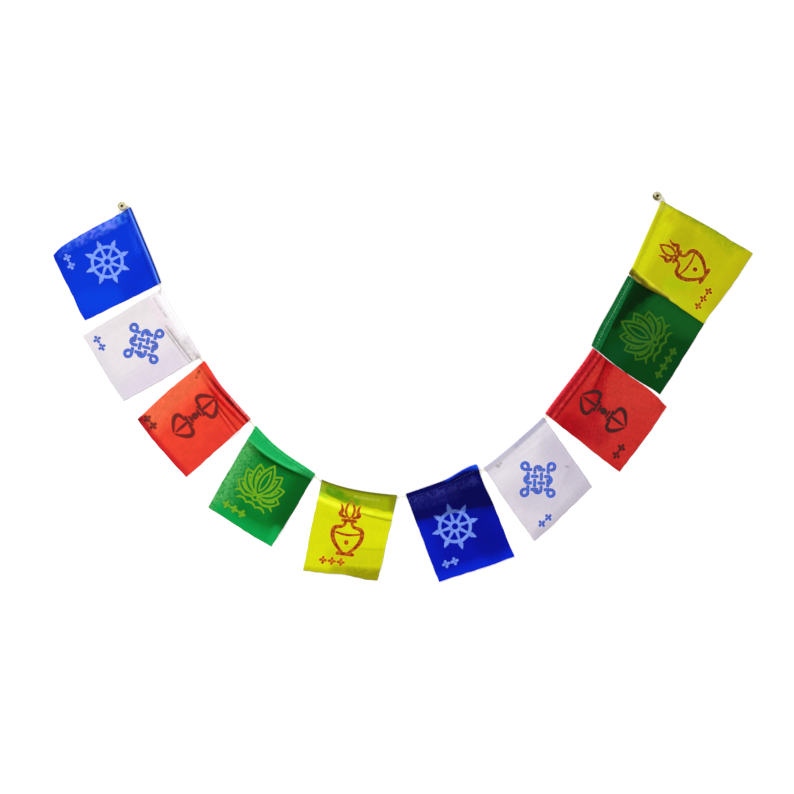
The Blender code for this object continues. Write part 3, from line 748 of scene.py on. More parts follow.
class FlagShape:
    """Places points of one flag's cloth. u and down are arrays: how far across, in parts of the
    width, and how far down from the fold, in millimetres."""

    def __init__(self, name):
        cloth = settings().cloth
        self.name = name
        self.colour_name = name.split("_")[-1]
        self.place = PLACES[name]
        self.bow = BOWS[name]
        self.hem = HEMS[name]
        self.creases = [crease for crease in RIDGES + CREASES if crease.flag == name]
        self.strays = [stray for stray in STRAYS if stray.flag == name]
        self.foot_left = np.array(self.place.foot_left)
        self.foot_right = np.array(self.place.foot_right)
        self.across = self.foot_right - self.foot_left
        self.across /= np.linalg.norm(self.across)
        self.seed = int(name.split("_")[1])
        self.flat = cloth.lie / MM
        self.fold_top = self.flat + 2 * FOLD_RADIUS
        self.on_layer = self.flat + 1.9 * cloth.thickness / MM
        self.seam = cloth.seam / MM
        self.ripple_height = cloth.ripple / MM
        self.pucker_height = cloth.pucker / MM

    def ends(self, u):
        top = LINE.at(self.place.start + u * self.place.width)[:, :2]
        foot = mix(self.foot_left, self.foot_right, u[:, None])
        down = (foot - top) / np.linalg.norm(foot - top, axis=1)[:, None]
        bow = (self.bow.foot * 4 * u * (1 - u))[:, None]
        return top - down * STRING_INSET, foot + down * bow

    def length(self, u):
        top, foot = self.ends(u)
        return np.linalg.norm(foot - top, axis=1)

    def hem_depth(self, u):
        return mix(self.hem.left, self.hem.right, u)

    def plan(self, u, down):
        top, foot = self.ends(u)
        share = down / np.linalg.norm(foot - top, axis=1)
        sideways = u * self.bow.right * bow_share(share, self.bow.right_at)
        sideways -= (1 - u) * self.bow.left * bow_share(share, self.bow.left_at)
        sideways = np.where(share > 0, sideways, 0.0)
        sideways += self.uneven(down, 3) * smooth_step((u - 0.8) / 0.2)
        sideways -= self.uneven(down, 4) * smooth_step((0.2 - u) / 0.2)
        across_mm = u * self.place.width
        from_edge = {
            "left": across_mm,
            "right": self.place.width - across_mm,
            "casing": np.maximum(down, 0.0),
            "foot": (1 - share) * self.length(u),
        }
        lengthwise = self.uneven(across_mm, 5) * smooth_step((share - 0.8) / 0.2)
        for stray in self.strays:
            out = self.stray_out(stray, share if stray.edge in ("left", "right") else u)
            out = out * smooth_step(1 - from_edge[stray.edge] / stray.depth)
            if stray.edge in ("left", "right"):
                sideways += out if stray.edge == "right" else -out
            else:
                lengthwise += out if stray.edge == "foot" else -out
        downwards = (foot - top) / np.linalg.norm(foot - top, axis=1)[:, None]
        moved = sideways[:, None] * self.across + lengthwise[:, None] * downwards
        return mix(top, foot, share[:, None]) + moved

    def stray_out(self, stray, ahead):
        rising = (ahead - stray.start) / (stray.peak - stray.start)
        falling = (stray.end - ahead) / (stray.end - stray.peak)
        return stray.out * smooth_step(np.minimum(rising, falling))

    def uneven(self, along, side):
        """How far the cut edge strays from its line, by the distance along it."""
        places = along + 31.0 * self.seed + 700.0 * side
        return 0.14 * np.sin(places / 2.9 + 1.7 * np.sin(places / 7.3)) + 0.2 * np.sin(places / 9.7)

    def stroke(self, row):
        """The two ends of a crease or of a row of painted light, shade and tone, in millimetres across and
        down the flag.
        """
        u = np.array([row.u0, row.u1])
        return self.flat_points(u, np.array([row.v0, row.v1]) * self.length(u))

    def flat_points(self, u, down):
        return np.column_stack([u * self.place.width, down])

    def lift(self, u, down):
        """The height that ridges, creases, small waves and gathers give the cloth."""
        points = self.flat_points(u, down)
        total = np.zeros(len(u))
        for crease in self.creases:
            total += crease.height * nearness(points, *self.stroke(crease), crease.reach)
        total += self.ripple_height * wander(points, 17.0, self.seed)
        total += 0.5 * self.ripple_height * wander(points, 6.5, self.seed + 40)
        gathers = np.sin(points[:, 0] * 1.15 + 2.2 * np.sin(points[:, 0] * 0.13 + self.seed))
        fading = np.exp(-down / 9.0)
        total += self.pucker_height * gathers * fading
        settled = 0.5 * (total + np.sqrt(total**2 + 0.04)) - 0.1
        return settled * smooth_step(down / RIDGES_START_OVER)

    def upper_layer(self, u, down):
        depth = self.hem_depth(u)
        from_string = down
        for stray in self.strays:
            if stray.edge == "casing":
                out = self.stray_out(stray, u) * smooth_step(1 - down / stray.depth)
                from_string = np.maximum(from_string - out, 0)
        settled = smooth_step(from_string / np.minimum(CASING_SETTLES_OVER, depth))
        height = mix(self.fold_top, self.on_layer, settled)
        height -= 0.3 * settled * np.exp(-(((down - self.seam) / 0.8) ** 2))
        past = smooth_step((down - depth - 0.3) / HEM_STEP_OVER)
        return mix(height, self.flat, past)

    def height(self, u, down, on_top):
        layer = self.upper_layer(u, down) if on_top else np.full(len(u), self.flat)
        return layer + self.lift(u, down)


def wander(points, scale, seed):
    """Smooth noise from about -1 to 1 over points in millimetres."""
    return np.array([noise.noise(Vector((x / scale, y / scale, seed * 7.31))) * 1.6 for x, y in points])


class ClothRun:
    """The rows of a flag's cloth, from the hem's cut edge round the string to the free edge."""

    def __init__(self, shape):
        step = settings().cloth.grid_step / MM
        self.shape = shape
        self.columns = round(shape.place.width / step)
        self.hem_rows = round(max(shape.hem.left, shape.hem.right) / step)
        self.fold_rows = 10
        self.body_rows = round(shape.length(np.array([0.5]))[0] / step)
        self.rows = self.hem_rows + self.fold_rows + self.body_rows

    def points(self, u, row):
        """For each point, across it and by row: how far down it is, its height, how far it is
        along the cloth from the fold, and whether it is in the hem."""
        shape = self.shape
        hem_on_top = shape.hem.side == "front"
        in_hem = row < self.hem_rows
        in_body = row > self.hem_rows + self.fold_rows
        turn = np.pi * np.clip((row - self.hem_rows) / self.fold_rows, 0, 1)
        hem_down = shape.hem_depth(u) * (1 - row / self.hem_rows)
        body_down = shape.length(u) * (row - self.hem_rows - self.fold_rows) / self.body_rows
        rise = np.cos(turn) if hem_on_top else -np.cos(turn)
        fold_height = shape.flat + FOLD_RADIUS * (1 + rise)
        down = np.where(in_hem, hem_down, np.where(in_body, body_down, -FOLD_RADIUS * np.sin(turn)))
        safe = np.maximum(down, 0.0)
        hem_height = shape.height(u, safe, hem_on_top)
        body_height = shape.height(u, safe, not hem_on_top)
        height = np.where(in_hem, hem_height, np.where(in_body, body_height, fold_height))
        along = np.where(in_hem, -hem_down, FOLD_RADIUS * turn + np.maximum(body_down, 0.0))
        return down, height, along, in_hem


# The prints: strokes as rows of x, y and half the stroke's width

def brush(*corners):
    """A stroke through corners of x, y and width."""
    if len(corners) == 2:
        corners = (corners[0], tuple((a + b) / 2 for a, b in zip(*corners)), corners[1])
    rough = rounded(corners, 12)
    length = np.linalg.norm(np.diff(rough[:, :2], axis=0), axis=1).sum()
    line = rounded(corners, max(3, round(length / STROKE_STEP / (len(corners) - 2))))
    return line * (1, 1, 0.5)


def curl(x, y, start_radius, end_radius, start_turn, end_turn, start_width, end_width):
    """A round or spiral stroke. Turns are in degrees."""
    length = abs(math.radians(end_turn - start_turn)) * (start_radius + end_radius) / 2
    share = np.linspace(0, 1, max(8, round(length / STROKE_STEP)))
    radius = mix(start_radius, end_radius, share)
    angle = np.radians(mix(start_turn, end_turn, share))
    half = mix(start_width, end_width, share) / 2
    return np.column_stack([x + radius * np.cos(angle), y + radius * np.sin(angle), half])


def spoke(turn, inner, outer, inner_width, outer_width):
    """A straight stroke outwards from the middle. The turn is in degrees."""
    along = np.array([math.cos(math.radians(turn)), math.sin(math.radians(turn))])
    return brush((*(along * inner), inner_width), (*(along * outer), outer_width))


def mirrored(stroke):
    return [stroke, stroke * (-1, 1, 1)]


def stroke_distance(points, strokes):
    """How far each point is outside the nearest stroke's edge; less than nothing inside it."""
    nearest = np.full(len(points), NO_INK)
    for stroke in strokes:
        low = stroke[:, :2].min(0) - NO_INK
        high = stroke[:, :2].max(0) + NO_INK
        close = np.flatnonzero(((points > low) & (points < high)).all(1))
        if len(close):
            apart = np.linalg.norm(points[close, None] - stroke[None, :, :2], axis=2) - stroke[:, 2]
            nearest[close] = np.minimum(nearest[close], apart.min(1))
    return nearest


def petal_distance(points, base, turn, length, bulge):
    """How far each point is outside the outline of a pointed petal, whose turn is in degrees."""
    along = np.array([math.cos(math.radians(turn)), math.sin(math.radians(turn))])
    aside = np.array([-along[1], along[0]])
    share = (points - base) @ along / length
    half = bulge * np.sin(np.pi * np.clip(share, 0, 1) ** 0.85) ** 0.8
    beyond = np.maximum(np.maximum(-share, share - 1), 0) * length
    return np.hypot(np.maximum(np.abs((points - base) @ aside) - half, 0), beyond) + np.minimum(
        np.abs((points - base) @ aside) - half, 0
    )


def draw_petal(points, ink, base, turn, length, bulge, line=1.1):
    """Ink with one more petal drawn over it: two outlines on a clear ground."""
    outside = petal_distance(points, np.array(base), turn, length, bulge)
    ink = np.where(outside < 0, np.maximum(ink, -outside), ink)
    ink = np.minimum(ink, np.abs(outside) - line)
    return np.minimum(ink, np.abs(outside + 4.2) - 0.7 * line)


def wheel(points):
    """A wheel with eight spokes and a flame at the end of each."""
    strokes = [curl(0, 0, 15.6, 15.6, 0, 360, 3.3, 3.3), curl(0, 0, 4.6, 4.6, 0, 360, 2.6, 2.6)]
    for turn in range(0, 360, 45):
        strokes.append(spoke(turn, 5.0, 15.0, 3.7, 1.9))
        strokes.append(spoke(turn, 18.8, 24.2, 4.9, 0.9))
    return stroke_distance(points, strokes)


def endless_knot(points):
    """Four bands woven each way, their ends joined in loops, standing on a corner."""
    pitch, half, gap = 6.0, 1.5, 0.9
    reach = 1.5 * pitch
    corner = reach + pitch / 2
    turned = points @ np.array([[1, -1], [1, 1]]) / math.sqrt(2)
    index = np.clip(np.round(turned / pitch + 1.5), 0, 3)
    ends = np.where((index == 0) | (index == 3), corner, reach)
    beyond = np.maximum(np.abs(turned[:, ::-1]) - ends, 0)
    bands = np.hypot(turned - (index - 1.5) * pitch, beyond) - half
    upright_over = index.sum(1) % 2 == 0
    over = np.where(upright_over, bands[:, 0], bands[:, 1])
    under = np.where(upright_over, bands[:, 1], bands[:, 0])
    woven = np.minimum(over, np.maximum(under, gap - over))
    loops = []
    for turn in range(0, 360, 90):
        quarter = np.array(Matrix.Rotation(math.radians(turn), 2)).T
        side = curl(reach, 0, pitch / 2, pitch / 2, -90, 90, 2 * half, 2 * half)
        outer = curl(corner, corner, pitch / 2, pitch / 2, -90, 180, 2 * half, 2 * half)
        for loop in (side, outer):
            loops.append(np.column_stack([loop[:, :2] @ quarter, loop[:, 2]]))
    return np.minimum(woven, stroke_distance(turned, loops))


def thunderbolt(points):
    """A double sceptre: a ball between two collars, and three curved prongs at each end."""
    strokes = [brush((0, 0.4, 7.4), (0, -0.4, 7.4))]
    for end in (1, -1):
        strokes.append(brush((-3.6, 5.6 * end, 2.2), (3.6, 5.6 * end, 2.2)))
        strokes.append(brush((-5.6, 8.6 * end, 2.6), (0, 10.6 * end, 3.0), (5.6, 8.6 * end, 2.6)))
        strokes.append(brush((0, 11.0 * end, 2.4), (0, 18.0 * end, 4.4), (0, 26.5 * end, 1.4)))
        prong = brush(
            (4.4, 11.4 * end, 2.2), (13.6, 11.0 * end, 4.0), (13.4, 21.0 * end, 4.8), (1.4, 29.0 * end, 1.6)
        )
        strokes += mirrored(prong)
    return stroke_distance(points, strokes)


def lotus(points):
    """A lotus of seven petals over two lines of waves."""
    ink = np.full(len(points), NO_INK)
    for from_upright, length in ((82, 23.5), (52, 27.0), (25, 30.0), (0, 33.0)):
        for turn in sorted({90 + from_upright, 90 - from_upright}, reverse=True):
            ink = draw_petal(points, ink, (0.0, -8.0), turn, length, 7.4)
    waves = []
    for y, count in ((-13.5, 4), (-19.0, 3)):
        for number in range(count):
            x = (number - (count - 1) / 2) * 10.6
            waves.append(brush((x - 5.3, y - 1.4, 1.4), (x, y + 3.6, 3.0), (x + 5.3, y - 1.4, 1.4)))
    return np.minimum(ink, stroke_distance(points, waves))


def treasure_vase(points):
    """A round vase on a foot, with a flaming jewel in its mouth."""
    strokes = [
        brush((-6.6, 9.6, 3.2), (6.6, 9.6, 3.2)),
        brush((-7.6, -24.0, 3.8), (7.6, -24.0, 3.8)),
        brush((-11.4, -3.0, 2.0), (0, -6.6, 3.0), (11.4, -3.0, 2.0)),
        brush((0, -12.0, 4.6), (0, -12.6, 4.6)),
    ]
    side = brush((3.4, 8.6, 3.0), (3.0, 3.0, 3.0), (15.8, 2.2, 4.4), (13.6, -14.0, 4.4), (3.8, -22.0, 2.8))
    strokes += mirrored(side)
    strokes += mirrored(brush((4.0, 12.8, 2.4), (11.4, 14.4, 4.6), (6.4, 19.6, 3.4), (10.0, 26.0, 1.0)))
    ink = stroke_distance(points, strokes)
    jewel = petal_distance(points, np.array([0.0, 12.0]), 90, 18.0, 4.2)
    return np.minimum(ink, np.abs(jewel) - 1.3)


ORNAMENTS = {
    "blue": wheel,
    "white": endless_knot,
    "red": thunderbolt,
    "green": lotus,
    "yellow": treasure_vase,
}


def small_flowers(points, count):
    """A short row of flowers with four round petals."""
    strokes = []
    for number in range(count):
        x = (number - (count - 1) / 2) * 9.0
        for turn in range(0, 360, 90):
            strokes.append(spoke(turn, 2.0, 2.7, 2.5, 2.9) + (x, 0, 0))
        strokes.append(spoke(0, 0.0, 0.1, 1.2, 1.2) + (x, 0, 0))
    return stroke_distance(points, strokes)


def print_distance(shape, plan, in_hem):
    """How far each point of a flag is from the edge of its print."""
    layout = PRINTS[shape.name]
    half = np.array([0.5])
    middle = shape.plan(half, shape.length(half) / 2)[0]
    upwards = np.array([-shape.across[1], shape.across[0]])
    apart = plan - middle
    local = np.column_stack([apart @ shape.across, apart @ upwards])
    ornament = ORNAMENTS[shape.colour_name]
    ink = ornament((local - (layout.x, layout.y)) / layout.size) * layout.size
    border = small_flowers(local - (layout.small_x, layout.small_y), layout.flowers)
    return np.where(in_hem, NO_INK, np.minimum(ink, border))


def print_strength(shape, u, down):
    """How much ink each point took: less where the cloth lies on a turned hem."""
    press = np.full(len(u), PRINTS[shape.name].press)
    if shape.hem.side == "back":
        on_hem = smooth_step((shape.hem_depth(u) + 0.4 - down) / 0.8)
        press *= 1 - 0.6 * on_hem
    return press


def dye_light_and_shade_colours(shape, u, down, in_hem):
    """Each point's colour: the double cloth's colour, partly painted shade, and the rows of painted light,
    shade and tone laid over the field.
    """
    look = LOOKS[shape.name]
    points = shape.flat_points(u, down)
    colours = np.tile(np.array(look.field, dtype=float), (len(u), 1))
    edge = down + 0.7 * np.sin(points[:, 0] / 6.3) + 0.4 * np.sin(points[:, 0] / 2.3)
    doubled = smooth_step((shape.hem_depth(u) + 0.6 - edge) / 1.2)
    if shape.hem.side == "front":
        doubled = np.where(in_hem | (down < 0), 1.0, 0.0)
    colours = mix(colours, np.array(look.double), doubled[:, None])
    # Rows of painted light, shade and tone over the field.
    for number, light_and_tone in enumerate(PAINTED_LIGHT_AND_TONES):
        if light_and_tone.flag == shape.name:
            share = light_and_tone.strength * np.sqrt(nearness(points, *shape.stroke(light_and_tone), light_and_tone.reach))
            if light_and_tone.flecks:
                touched = np.flatnonzero(share)
                flecks = wander(points[touched], light_and_tone.flecks, number) + 0.5
                share[touched] *= 0.25 + 0.75 * smooth_step(flecks)
            colours = mix(colours, np.array(light_and_tone.colour), share[:, None])
    chosen = np.array(getattr(settings().dyes, shape.colour_name))
    usual = linear(DYES[shape.colour_name])
    shift = np.where(usual > 0, chosen / np.maximum(usual, 1e-6), 1.0)
    return linear(colours) * shift * settings().cloth.lightness


# Materials

class Wiring:
    """Adds nodes to a tree, each input given a value or the output that feeds it."""

    def __init__(self, tree):
        self.tree = tree

    def add(self, kind, inputs=None, **options):
        node = self.tree.nodes.new("ShaderNode" + kind)
        for name, value in options.items():
            setattr(node, name, value)
        for name, value in (inputs or {}).items():
            self.feed(node.inputs[name], value)
        return node

    def feed(self, socket, value):
        if isinstance(value, bpy.types.NodeSocket):
            self.tree.links.new(value, socket)
        else:
            socket.default_value = value

    def math(self, operation, a, b=0.0, c=0.0):
        node = self.add("Math", {0: a, 1: b, 2: c}, operation=operation)
        return node.outputs[0]

    def mix(self, share, a, b, blend_type="MIX"):
        node = self.add("Mix", data_type="RGBA", blend_type=blend_type)
        self.feed(node.inputs[0], share)
        self.feed(node.inputs[6], a)
        self.feed(node.inputs[7], b)
        return node.outputs[2]

    def remap(self, value, low, high, to_low=0.0, to_high=1.0):
        places = {"Value": value, "From Min": low, "From Max": high, "To Min": to_low, "To Max": to_high}
        return self.add("MapRange", places, interpolation_type="SMOOTHSTEP").outputs[0]


def node_group(name, inputs, outputs):
    """A new shader node group with its wiring and its input and output nodes."""
    tree = bpy.data.node_groups.new(name, "ShaderNodeTree")
    for label, kind, default in inputs:
        socket = tree.interface.new_socket(name=label, in_out="INPUT", socket_type="NodeSocket" + kind)
        if default is not None:
            socket.default_value = default
    for label, kind in outputs:
        tree.interface.new_socket(name=label, in_out="OUTPUT", socket_type="NodeSocket" + kind)
    wires = Wiring(tree)
    entry = tree.nodes.new("NodeGroupInput")
    leave = tree.nodes.new("NodeGroupOutput")
    return tree, wires, entry.outputs, leave.inputs


def plain_weave_group():
    """Yarns crossing over and under: their height, and a tone of its own for each yarn."""
    name = "Plain weave"
    if name in bpy.data.node_groups:
        return bpy.data.node_groups[name]
    tree, wires, given, out = node_group(
        name,
        [("Place", "Vector", None), ("Pitch", "Float", 0.0005)],
        [("Height", "Float"), ("Yarn", "Float")],
    )
    place = wires.add("SeparateXYZ", {0: given["Place"]})
    x = wires.math("DIVIDE", place.outputs[0], given["Pitch"])
    y = wires.math("DIVIDE", place.outputs[1], given["Pitch"])
    column, row = wires.math("FLOOR", x), wires.math("FLOOR", y)
    warp_phase = wires.math("MULTIPLY", wires.math("ADD", y, column), math.pi)
    weft_phase = wires.math("MULTIPLY", wires.math("ADD", x, row), math.pi)
    warp_rise = wires.math("MULTIPLY_ADD", wires.math("COSINE", warp_phase), 0.5, 0.5)
    weft_rise = wires.math("MULTIPLY_ADD", wires.math("COSINE", weft_phase), -0.5, 0.5)
    warp_round = wires.math("SINE", wires.math("MULTIPLY", wires.math("FRACT", x), math.pi))
    weft_round = wires.math("SINE", wires.math("MULTIPLY", wires.math("FRACT", y), math.pi))
    warp = wires.math("MULTIPLY", warp_rise, warp_round)
    weft = wires.math("MULTIPLY", weft_rise, weft_round)
    warp_over = wires.math("GREATER_THAN", warp, weft)
    warp_tone = wires.add("TexWhiteNoise", {"W": column}, noise_dimensions="1D").outputs[0]
    own_row = wires.math("ADD", row, 0.37)
    weft_tone = wires.add("TexWhiteNoise", {"W": own_row}, noise_dimensions="1D").outputs[0]
    warp_part = wires.math("MULTIPLY", warp_tone, warp_over)
    weft_part = wires.math("MULTIPLY", weft_tone, wires.math("SUBTRACT", 1.0, warp_over))
    wires.feed(out["Height"], wires.math("MAXIMUM", warp, weft))
    wires.feed(out["Yarn"], wires.math("ADD", warp_part, weft_part))
    return tree


def slub_group():
    """Uneven yarn and uneven dye: streaks along both yarns and soft blotches."""
    name = "Slubs and blotches"
    if name in bpy.data.node_groups:
        return bpy.data.node_groups[name]
    tree, wires, given, out = node_group(name, [("Place", "Vector", None)], [("Tone", "Float")])
    tones = []
    for scale in ((1500.0, 60.0, 1.0), (60.0, 1500.0, 1.0)):
        stretched = wires.add("Mapping", {"Vector": given["Place"], "Scale": scale}).outputs[0]
        streak = wires.add("TexNoise", {"Vector": stretched, "Scale": 1.0, "Detail": 2.0})
        tones.append(streak.outputs[0])
    blotch = wires.add("TexNoise", {"Vector": given["Place"], "Scale": 130.0, "Detail": 3.0}).outputs[0]
    grain = wires.add("TexNoise", {"Vector": given["Place"], "Scale": 620.0, "Detail": 2.0}).outputs[0]
    streaks = wires.math("ADD", tones[0], tones[1])
    rest = wires.math("ADD", blotch, grain)
    wires.feed(out["Tone"], wires.math("MULTIPLY", wires.math("ADD", streaks, rest), 0.25))
    return tree


def block_print_group():
    """Ink pressed on cloth by a carved block: body, rim and stain by the distance from its edge."""
    name = "Block print"
    if name in bpy.data.node_groups:
        return bpy.data.node_groups[name]
    colours = [(label, "Color", (1, 1, 1, 1)) for label in ("Cloth", "Body", "Rim", "Stain")]
    tree, wires, given, out = node_group(
        name,
        [("Distance", "Float", 9.0), ("Place", "Vector", None), ("Cover", "Float", 1.0), *colours],
        [("Colour", "Color"), ("Mask", "Float")],
    )
    bleed = wires.add("TexNoise", {"Vector": given["Place"], "Scale": 900.0, "Detail": 2.0}).outputs[0]
    speck = wires.add("TexNoise", {"Vector": given["Place"], "Scale": 1500.0, "Detail": 1.0}).outputs[0]
    patch = wires.add("TexNoise", {"Vector": given["Place"], "Scale": 260.0, "Detail": 2.0}).outputs[0]
    edge = wires.math("MULTIPLY_ADD", wires.math("SUBTRACT", bleed, 0.5), 0.9, given["Distance"])
    inside = wires.remap(edge, 0.16, -0.16)
    mottled = wires.remap(patch, 0.4, 0.6, 0.3, 1.0)
    body = wires.math("MULTIPLY", wires.remap(edge, -0.1, -0.6), mottled)
    stain = wires.remap(edge, 1.1, 0.1)
    worn = wires.remap(speck, 0.32, 0.44, 0.6, 1.0)
    faded = wires.remap(patch, 0.25, 0.6, 0.88, 1.0)
    cover = wires.math("MULTIPLY", wires.math("MULTIPLY", worn, faded), given["Cover"])
    mask = wires.math("MULTIPLY", inside, cover)
    soaked = wires.math("MULTIPLY", wires.math("MULTIPLY", stain, 0.5), given["Cover"])
    stained = wires.mix(soaked, given["Cloth"], given["Stain"])
    ink = wires.mix(body, given["Rim"], given["Body"])
    wires.feed(out["Colour"], wires.mix(mask, stained, ink))
    wires.feed(out["Mask"], mask)
    return tree


def new_material(name):
    material = bpy.data.materials.new(name)
    material.use_nodes = True
    wires = Wiring(material.node_tree)
    shader = material.node_tree.nodes["Principled BSDF"]
    return material, wires, shader


def rgba(colour):
    return (*linear(colour), 1.0)


def cloth_material(colour, face):
    """One dyed cloth, on its printed face or its back, where the print shows faintly through."""
    name = f"{colour} cloth {face}"
    if name in bpy.data.materials:
        return bpy.data.materials[name]
    material, wires, shader = new_material(name)
    ink = INKS[colour]
    place = wires.add("UVMap", uv_map="Cloth").outputs[0]
    # Dye colours with painted light and shade in them.
    dye = wires.add("Attribute", attribute_name="dye").outputs["Color"]
    distance = wires.add("Attribute", attribute_name="print").outputs["Fac"]
    press = wires.add("Attribute", attribute_name="press").outputs["Fac"]
    edge = wires.add("Attribute", attribute_name="edge").outputs["Fac"]
    weave = add_group(wires, plain_weave_group(), Place=place, Pitch=settings().cloth.yarn_pitch)
    slubs = add_group(wires, slub_group(), Place=place)
    heavy = wires.remap(press, 1.0, 1.5, 1.0, 0.45)
    body, rim = (
        wires.add("VectorMath", {0: tuple(shade), "Scale": heavy}, operation="SCALE").outputs[0]
        for shade in (getattr(settings().inks, colour), linear(ink.rim))
    )
    coming_through = 1.0 if face == "front" else 0.3
    cover = wires.math("MULTIPLY", wires.math("MINIMUM", press, 1.0), ink.cover * coming_through)
    yarn_tone = wires.remap(weave.outputs["Yarn"], 0.0, 1.0, 0.97, 1.03)
    # Painted shade between the yarns: darker where the weave lies low.
    gap_shade = wires.remap(weave.outputs["Height"], 0.05, 0.75, 0.88, 1.05)
    unevenness = UNEVEN_DYE[colour]
    dye_tone = wires.remap(slubs.outputs["Tone"], 0.34, 0.66, 1 - unevenness, 1 + unevenness)
    frayed = wires.remap(edge, 0.0, 0.8, 0.92, 1.0)
    woven = wires.math("MULTIPLY", yarn_tone, gap_shade)
    tone = wires.math("MULTIPLY", woven, wires.math("MULTIPLY", dye_tone, frayed))
    toned = wires.add("VectorMath", {0: dye, "Scale": tone}, operation="SCALE").outputs[0]
    printed = add_group(
        wires,
        block_print_group(),
        Distance=distance,
        Place=place,
        Cover=cover,
        Cloth=toned,
        Body=body,
        Rim=rim,
        Stain=rgba(ink.stain),
    )
    wires.feed(shader.inputs["Base Color"], printed.outputs["Colour"])
    dulled = wires.remap(slubs.outputs["Tone"], 0.35, 0.65, 0.78, 0.92)
    smoothed = wires.math("MULTIPLY", printed.outputs["Mask"], 0.12)
    wires.feed(shader.inputs["Roughness"], wires.math("SUBTRACT", dulled, smoothed))
    wires.feed(shader.inputs["Sheen Tint"], dye)
    shader.inputs["Sheen Weight"].default_value = 0.15
    shader.inputs["Sheen Roughness"].default_value = 0.4
    shader.inputs["Specular IOR Level"].default_value = 0.08
    filled = wires.math("MULTIPLY_ADD", printed.outputs["Mask"], 0.25, weave.outputs["Height"])
    bump = wires.add("Bump", {"Height": filled, "Distance": 0.0001, "Strength": 0.6})
    wires.feed(shader.inputs["Normal"], bump.outputs[0])
    return material


def add_group(wires, tree, **inputs):
    node = wires.tree.nodes.new("ShaderNodeGroup")
    node.node_tree = tree
    for name, value in inputs.items():
        wires.feed(node.inputs[name], value)
    return node


def thread_material(name, colour, pale):
    """Spun yarn: fine fibres along it and a little dirt."""
    if name in bpy.data.materials:
        return bpy.data.materials[name]
    material, wires, shader = new_material(name)
    place = wires.add("TexCoord").outputs["Object"]
    fibre = wires.add("TexNoise", {"Vector": place, "Scale": 2600.0, "Detail": 3.0}).outputs[0]
    dirt = wires.add("TexNoise", {"Vector": place, "Scale": 90.0, "Detail": 3.0}).outputs[0]
    base = wires.mix(wires.remap(fibre, 0.3, 0.7), (*colour, 1.0), (*pale, 1.0))
    soiled = wires.mix(wires.remap(dirt, 0.45, 0.75, 0.0, 0.35), base, (*(np.array(colour) * 0.55), 1.0))
    wires.feed(shader.inputs["Base Color"], soiled)
    wires.feed(shader.inputs["Roughness"], wires.remap(fibre, 0.3, 0.7, 0.7, 0.95))
    shader.inputs["Sheen Weight"].default_value = 0.25
    bump = wires.add("Bump", {"Height": fibre, "Distance": 0.00006, "Strength": 0.6})
    wires.feed(shader.inputs["Normal"], bump.outputs[0])
    return material


def brass_material():
    """Old brass: bright where it is rubbed, olive and brown where it has tarnished, and darker on one side
    where a dark reflection is painted.
    """
    name = "tarnished brass"
    if name in bpy.data.materials:
        return bpy.data.materials[name]
    beads = settings().beads
    material, wires, shader = new_material(name)
    place = wires.add("TexCoord").outputs["Object"]
    patches = wires.add("TexNoise", {"Vector": place, "Scale": 380.0, "Detail": 4.0}).outputs[0]
    pits = wires.add("TexNoise", {"Vector": place, "Scale": 1800.0, "Detail": 3.0}).outputs[0]
    # The attribute holds the tarnish and a painted dark reflection on one side.
    worn = wires.add("Attribute", attribute_name="tarnish").outputs["Fac"]
    amount = wires.math("ADD", wires.math("MULTIPLY", wires.remap(patches, 0.45, 0.65), 0.3), worn)
    tarnish = wires.math("MINIMUM", amount, 1.0)
    colour = wires.mix(tarnish, (*beads.metal, 1.0), (*beads.tarnish, 1.0))
    wires.feed(shader.inputs["Base Color"], colour)
    wires.feed(shader.inputs["Roughness"], wires.remap(tarnish, 0.0, 1.0, 0.24, 0.62))
    wires.feed(shader.inputs["Metallic"], wires.remap(tarnish, 0.0, 1.0, 0.75, 0.4))
    bump = wires.add("Bump", {"Height": pits, "Distance": 0.00012, "Strength": 0.5})
    wires.feed(shader.inputs["Normal"], bump.outputs[0])
    return material


# Pieces

def mesh_from(bm, name):
    """The mesh of a finished bmesh."""
    mesh = bpy.data.meshes.new(name)
    bm.to_mesh(mesh)
    bm.free()
    return mesh


def tubes(name, lines, radius, resolution):
    """The mesh of round tubes along lines, all in millimetres."""
    curve = bpy.data.curves.new(name, "CURVE")
    curve.dimensions = "3D"
    curve.bevel_depth = radius * MM
    curve.bevel_resolution = resolution
    curve.use_fill_caps = True
    for line in lines:
        spline = curve.splines.new("POLY")
        spline.points.add(len(line) - 1)
        spline.points.foreach_set("co", np.column_stack([in_frame(line), np.ones(len(line))]).ravel())
    bent = bpy.data.objects.new(name, curve)
    mesh = bpy.data.meshes.new_from_object(bent)
    bpy.data.objects.remove(bent)
    mesh.shade_smooth()
    return mesh


def places_of(mesh):
    places = np.zeros(len(mesh.vertices) * 3, dtype=np.float32)
    mesh.vertices.foreach_get("co", places)
    return places.reshape(-1, 3)


def add_piece(name, mesh, slot, *materials):
    for material in materials:
        mesh.materials.append(material)
    piece = bpy.data.objects.new(name, mesh)
    bpy.context.scene.collection.objects.link(piece)
    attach(piece, BODY)
    return piece


def set_attribute(mesh, name, kind, values):
    attribute = mesh.attributes.new(name, kind, "POINT")
    field = "color" if kind == "FLOAT_COLOR" else "value"
    attribute.data.foreach_set(field, np.asarray(values, dtype=np.float32).ravel())


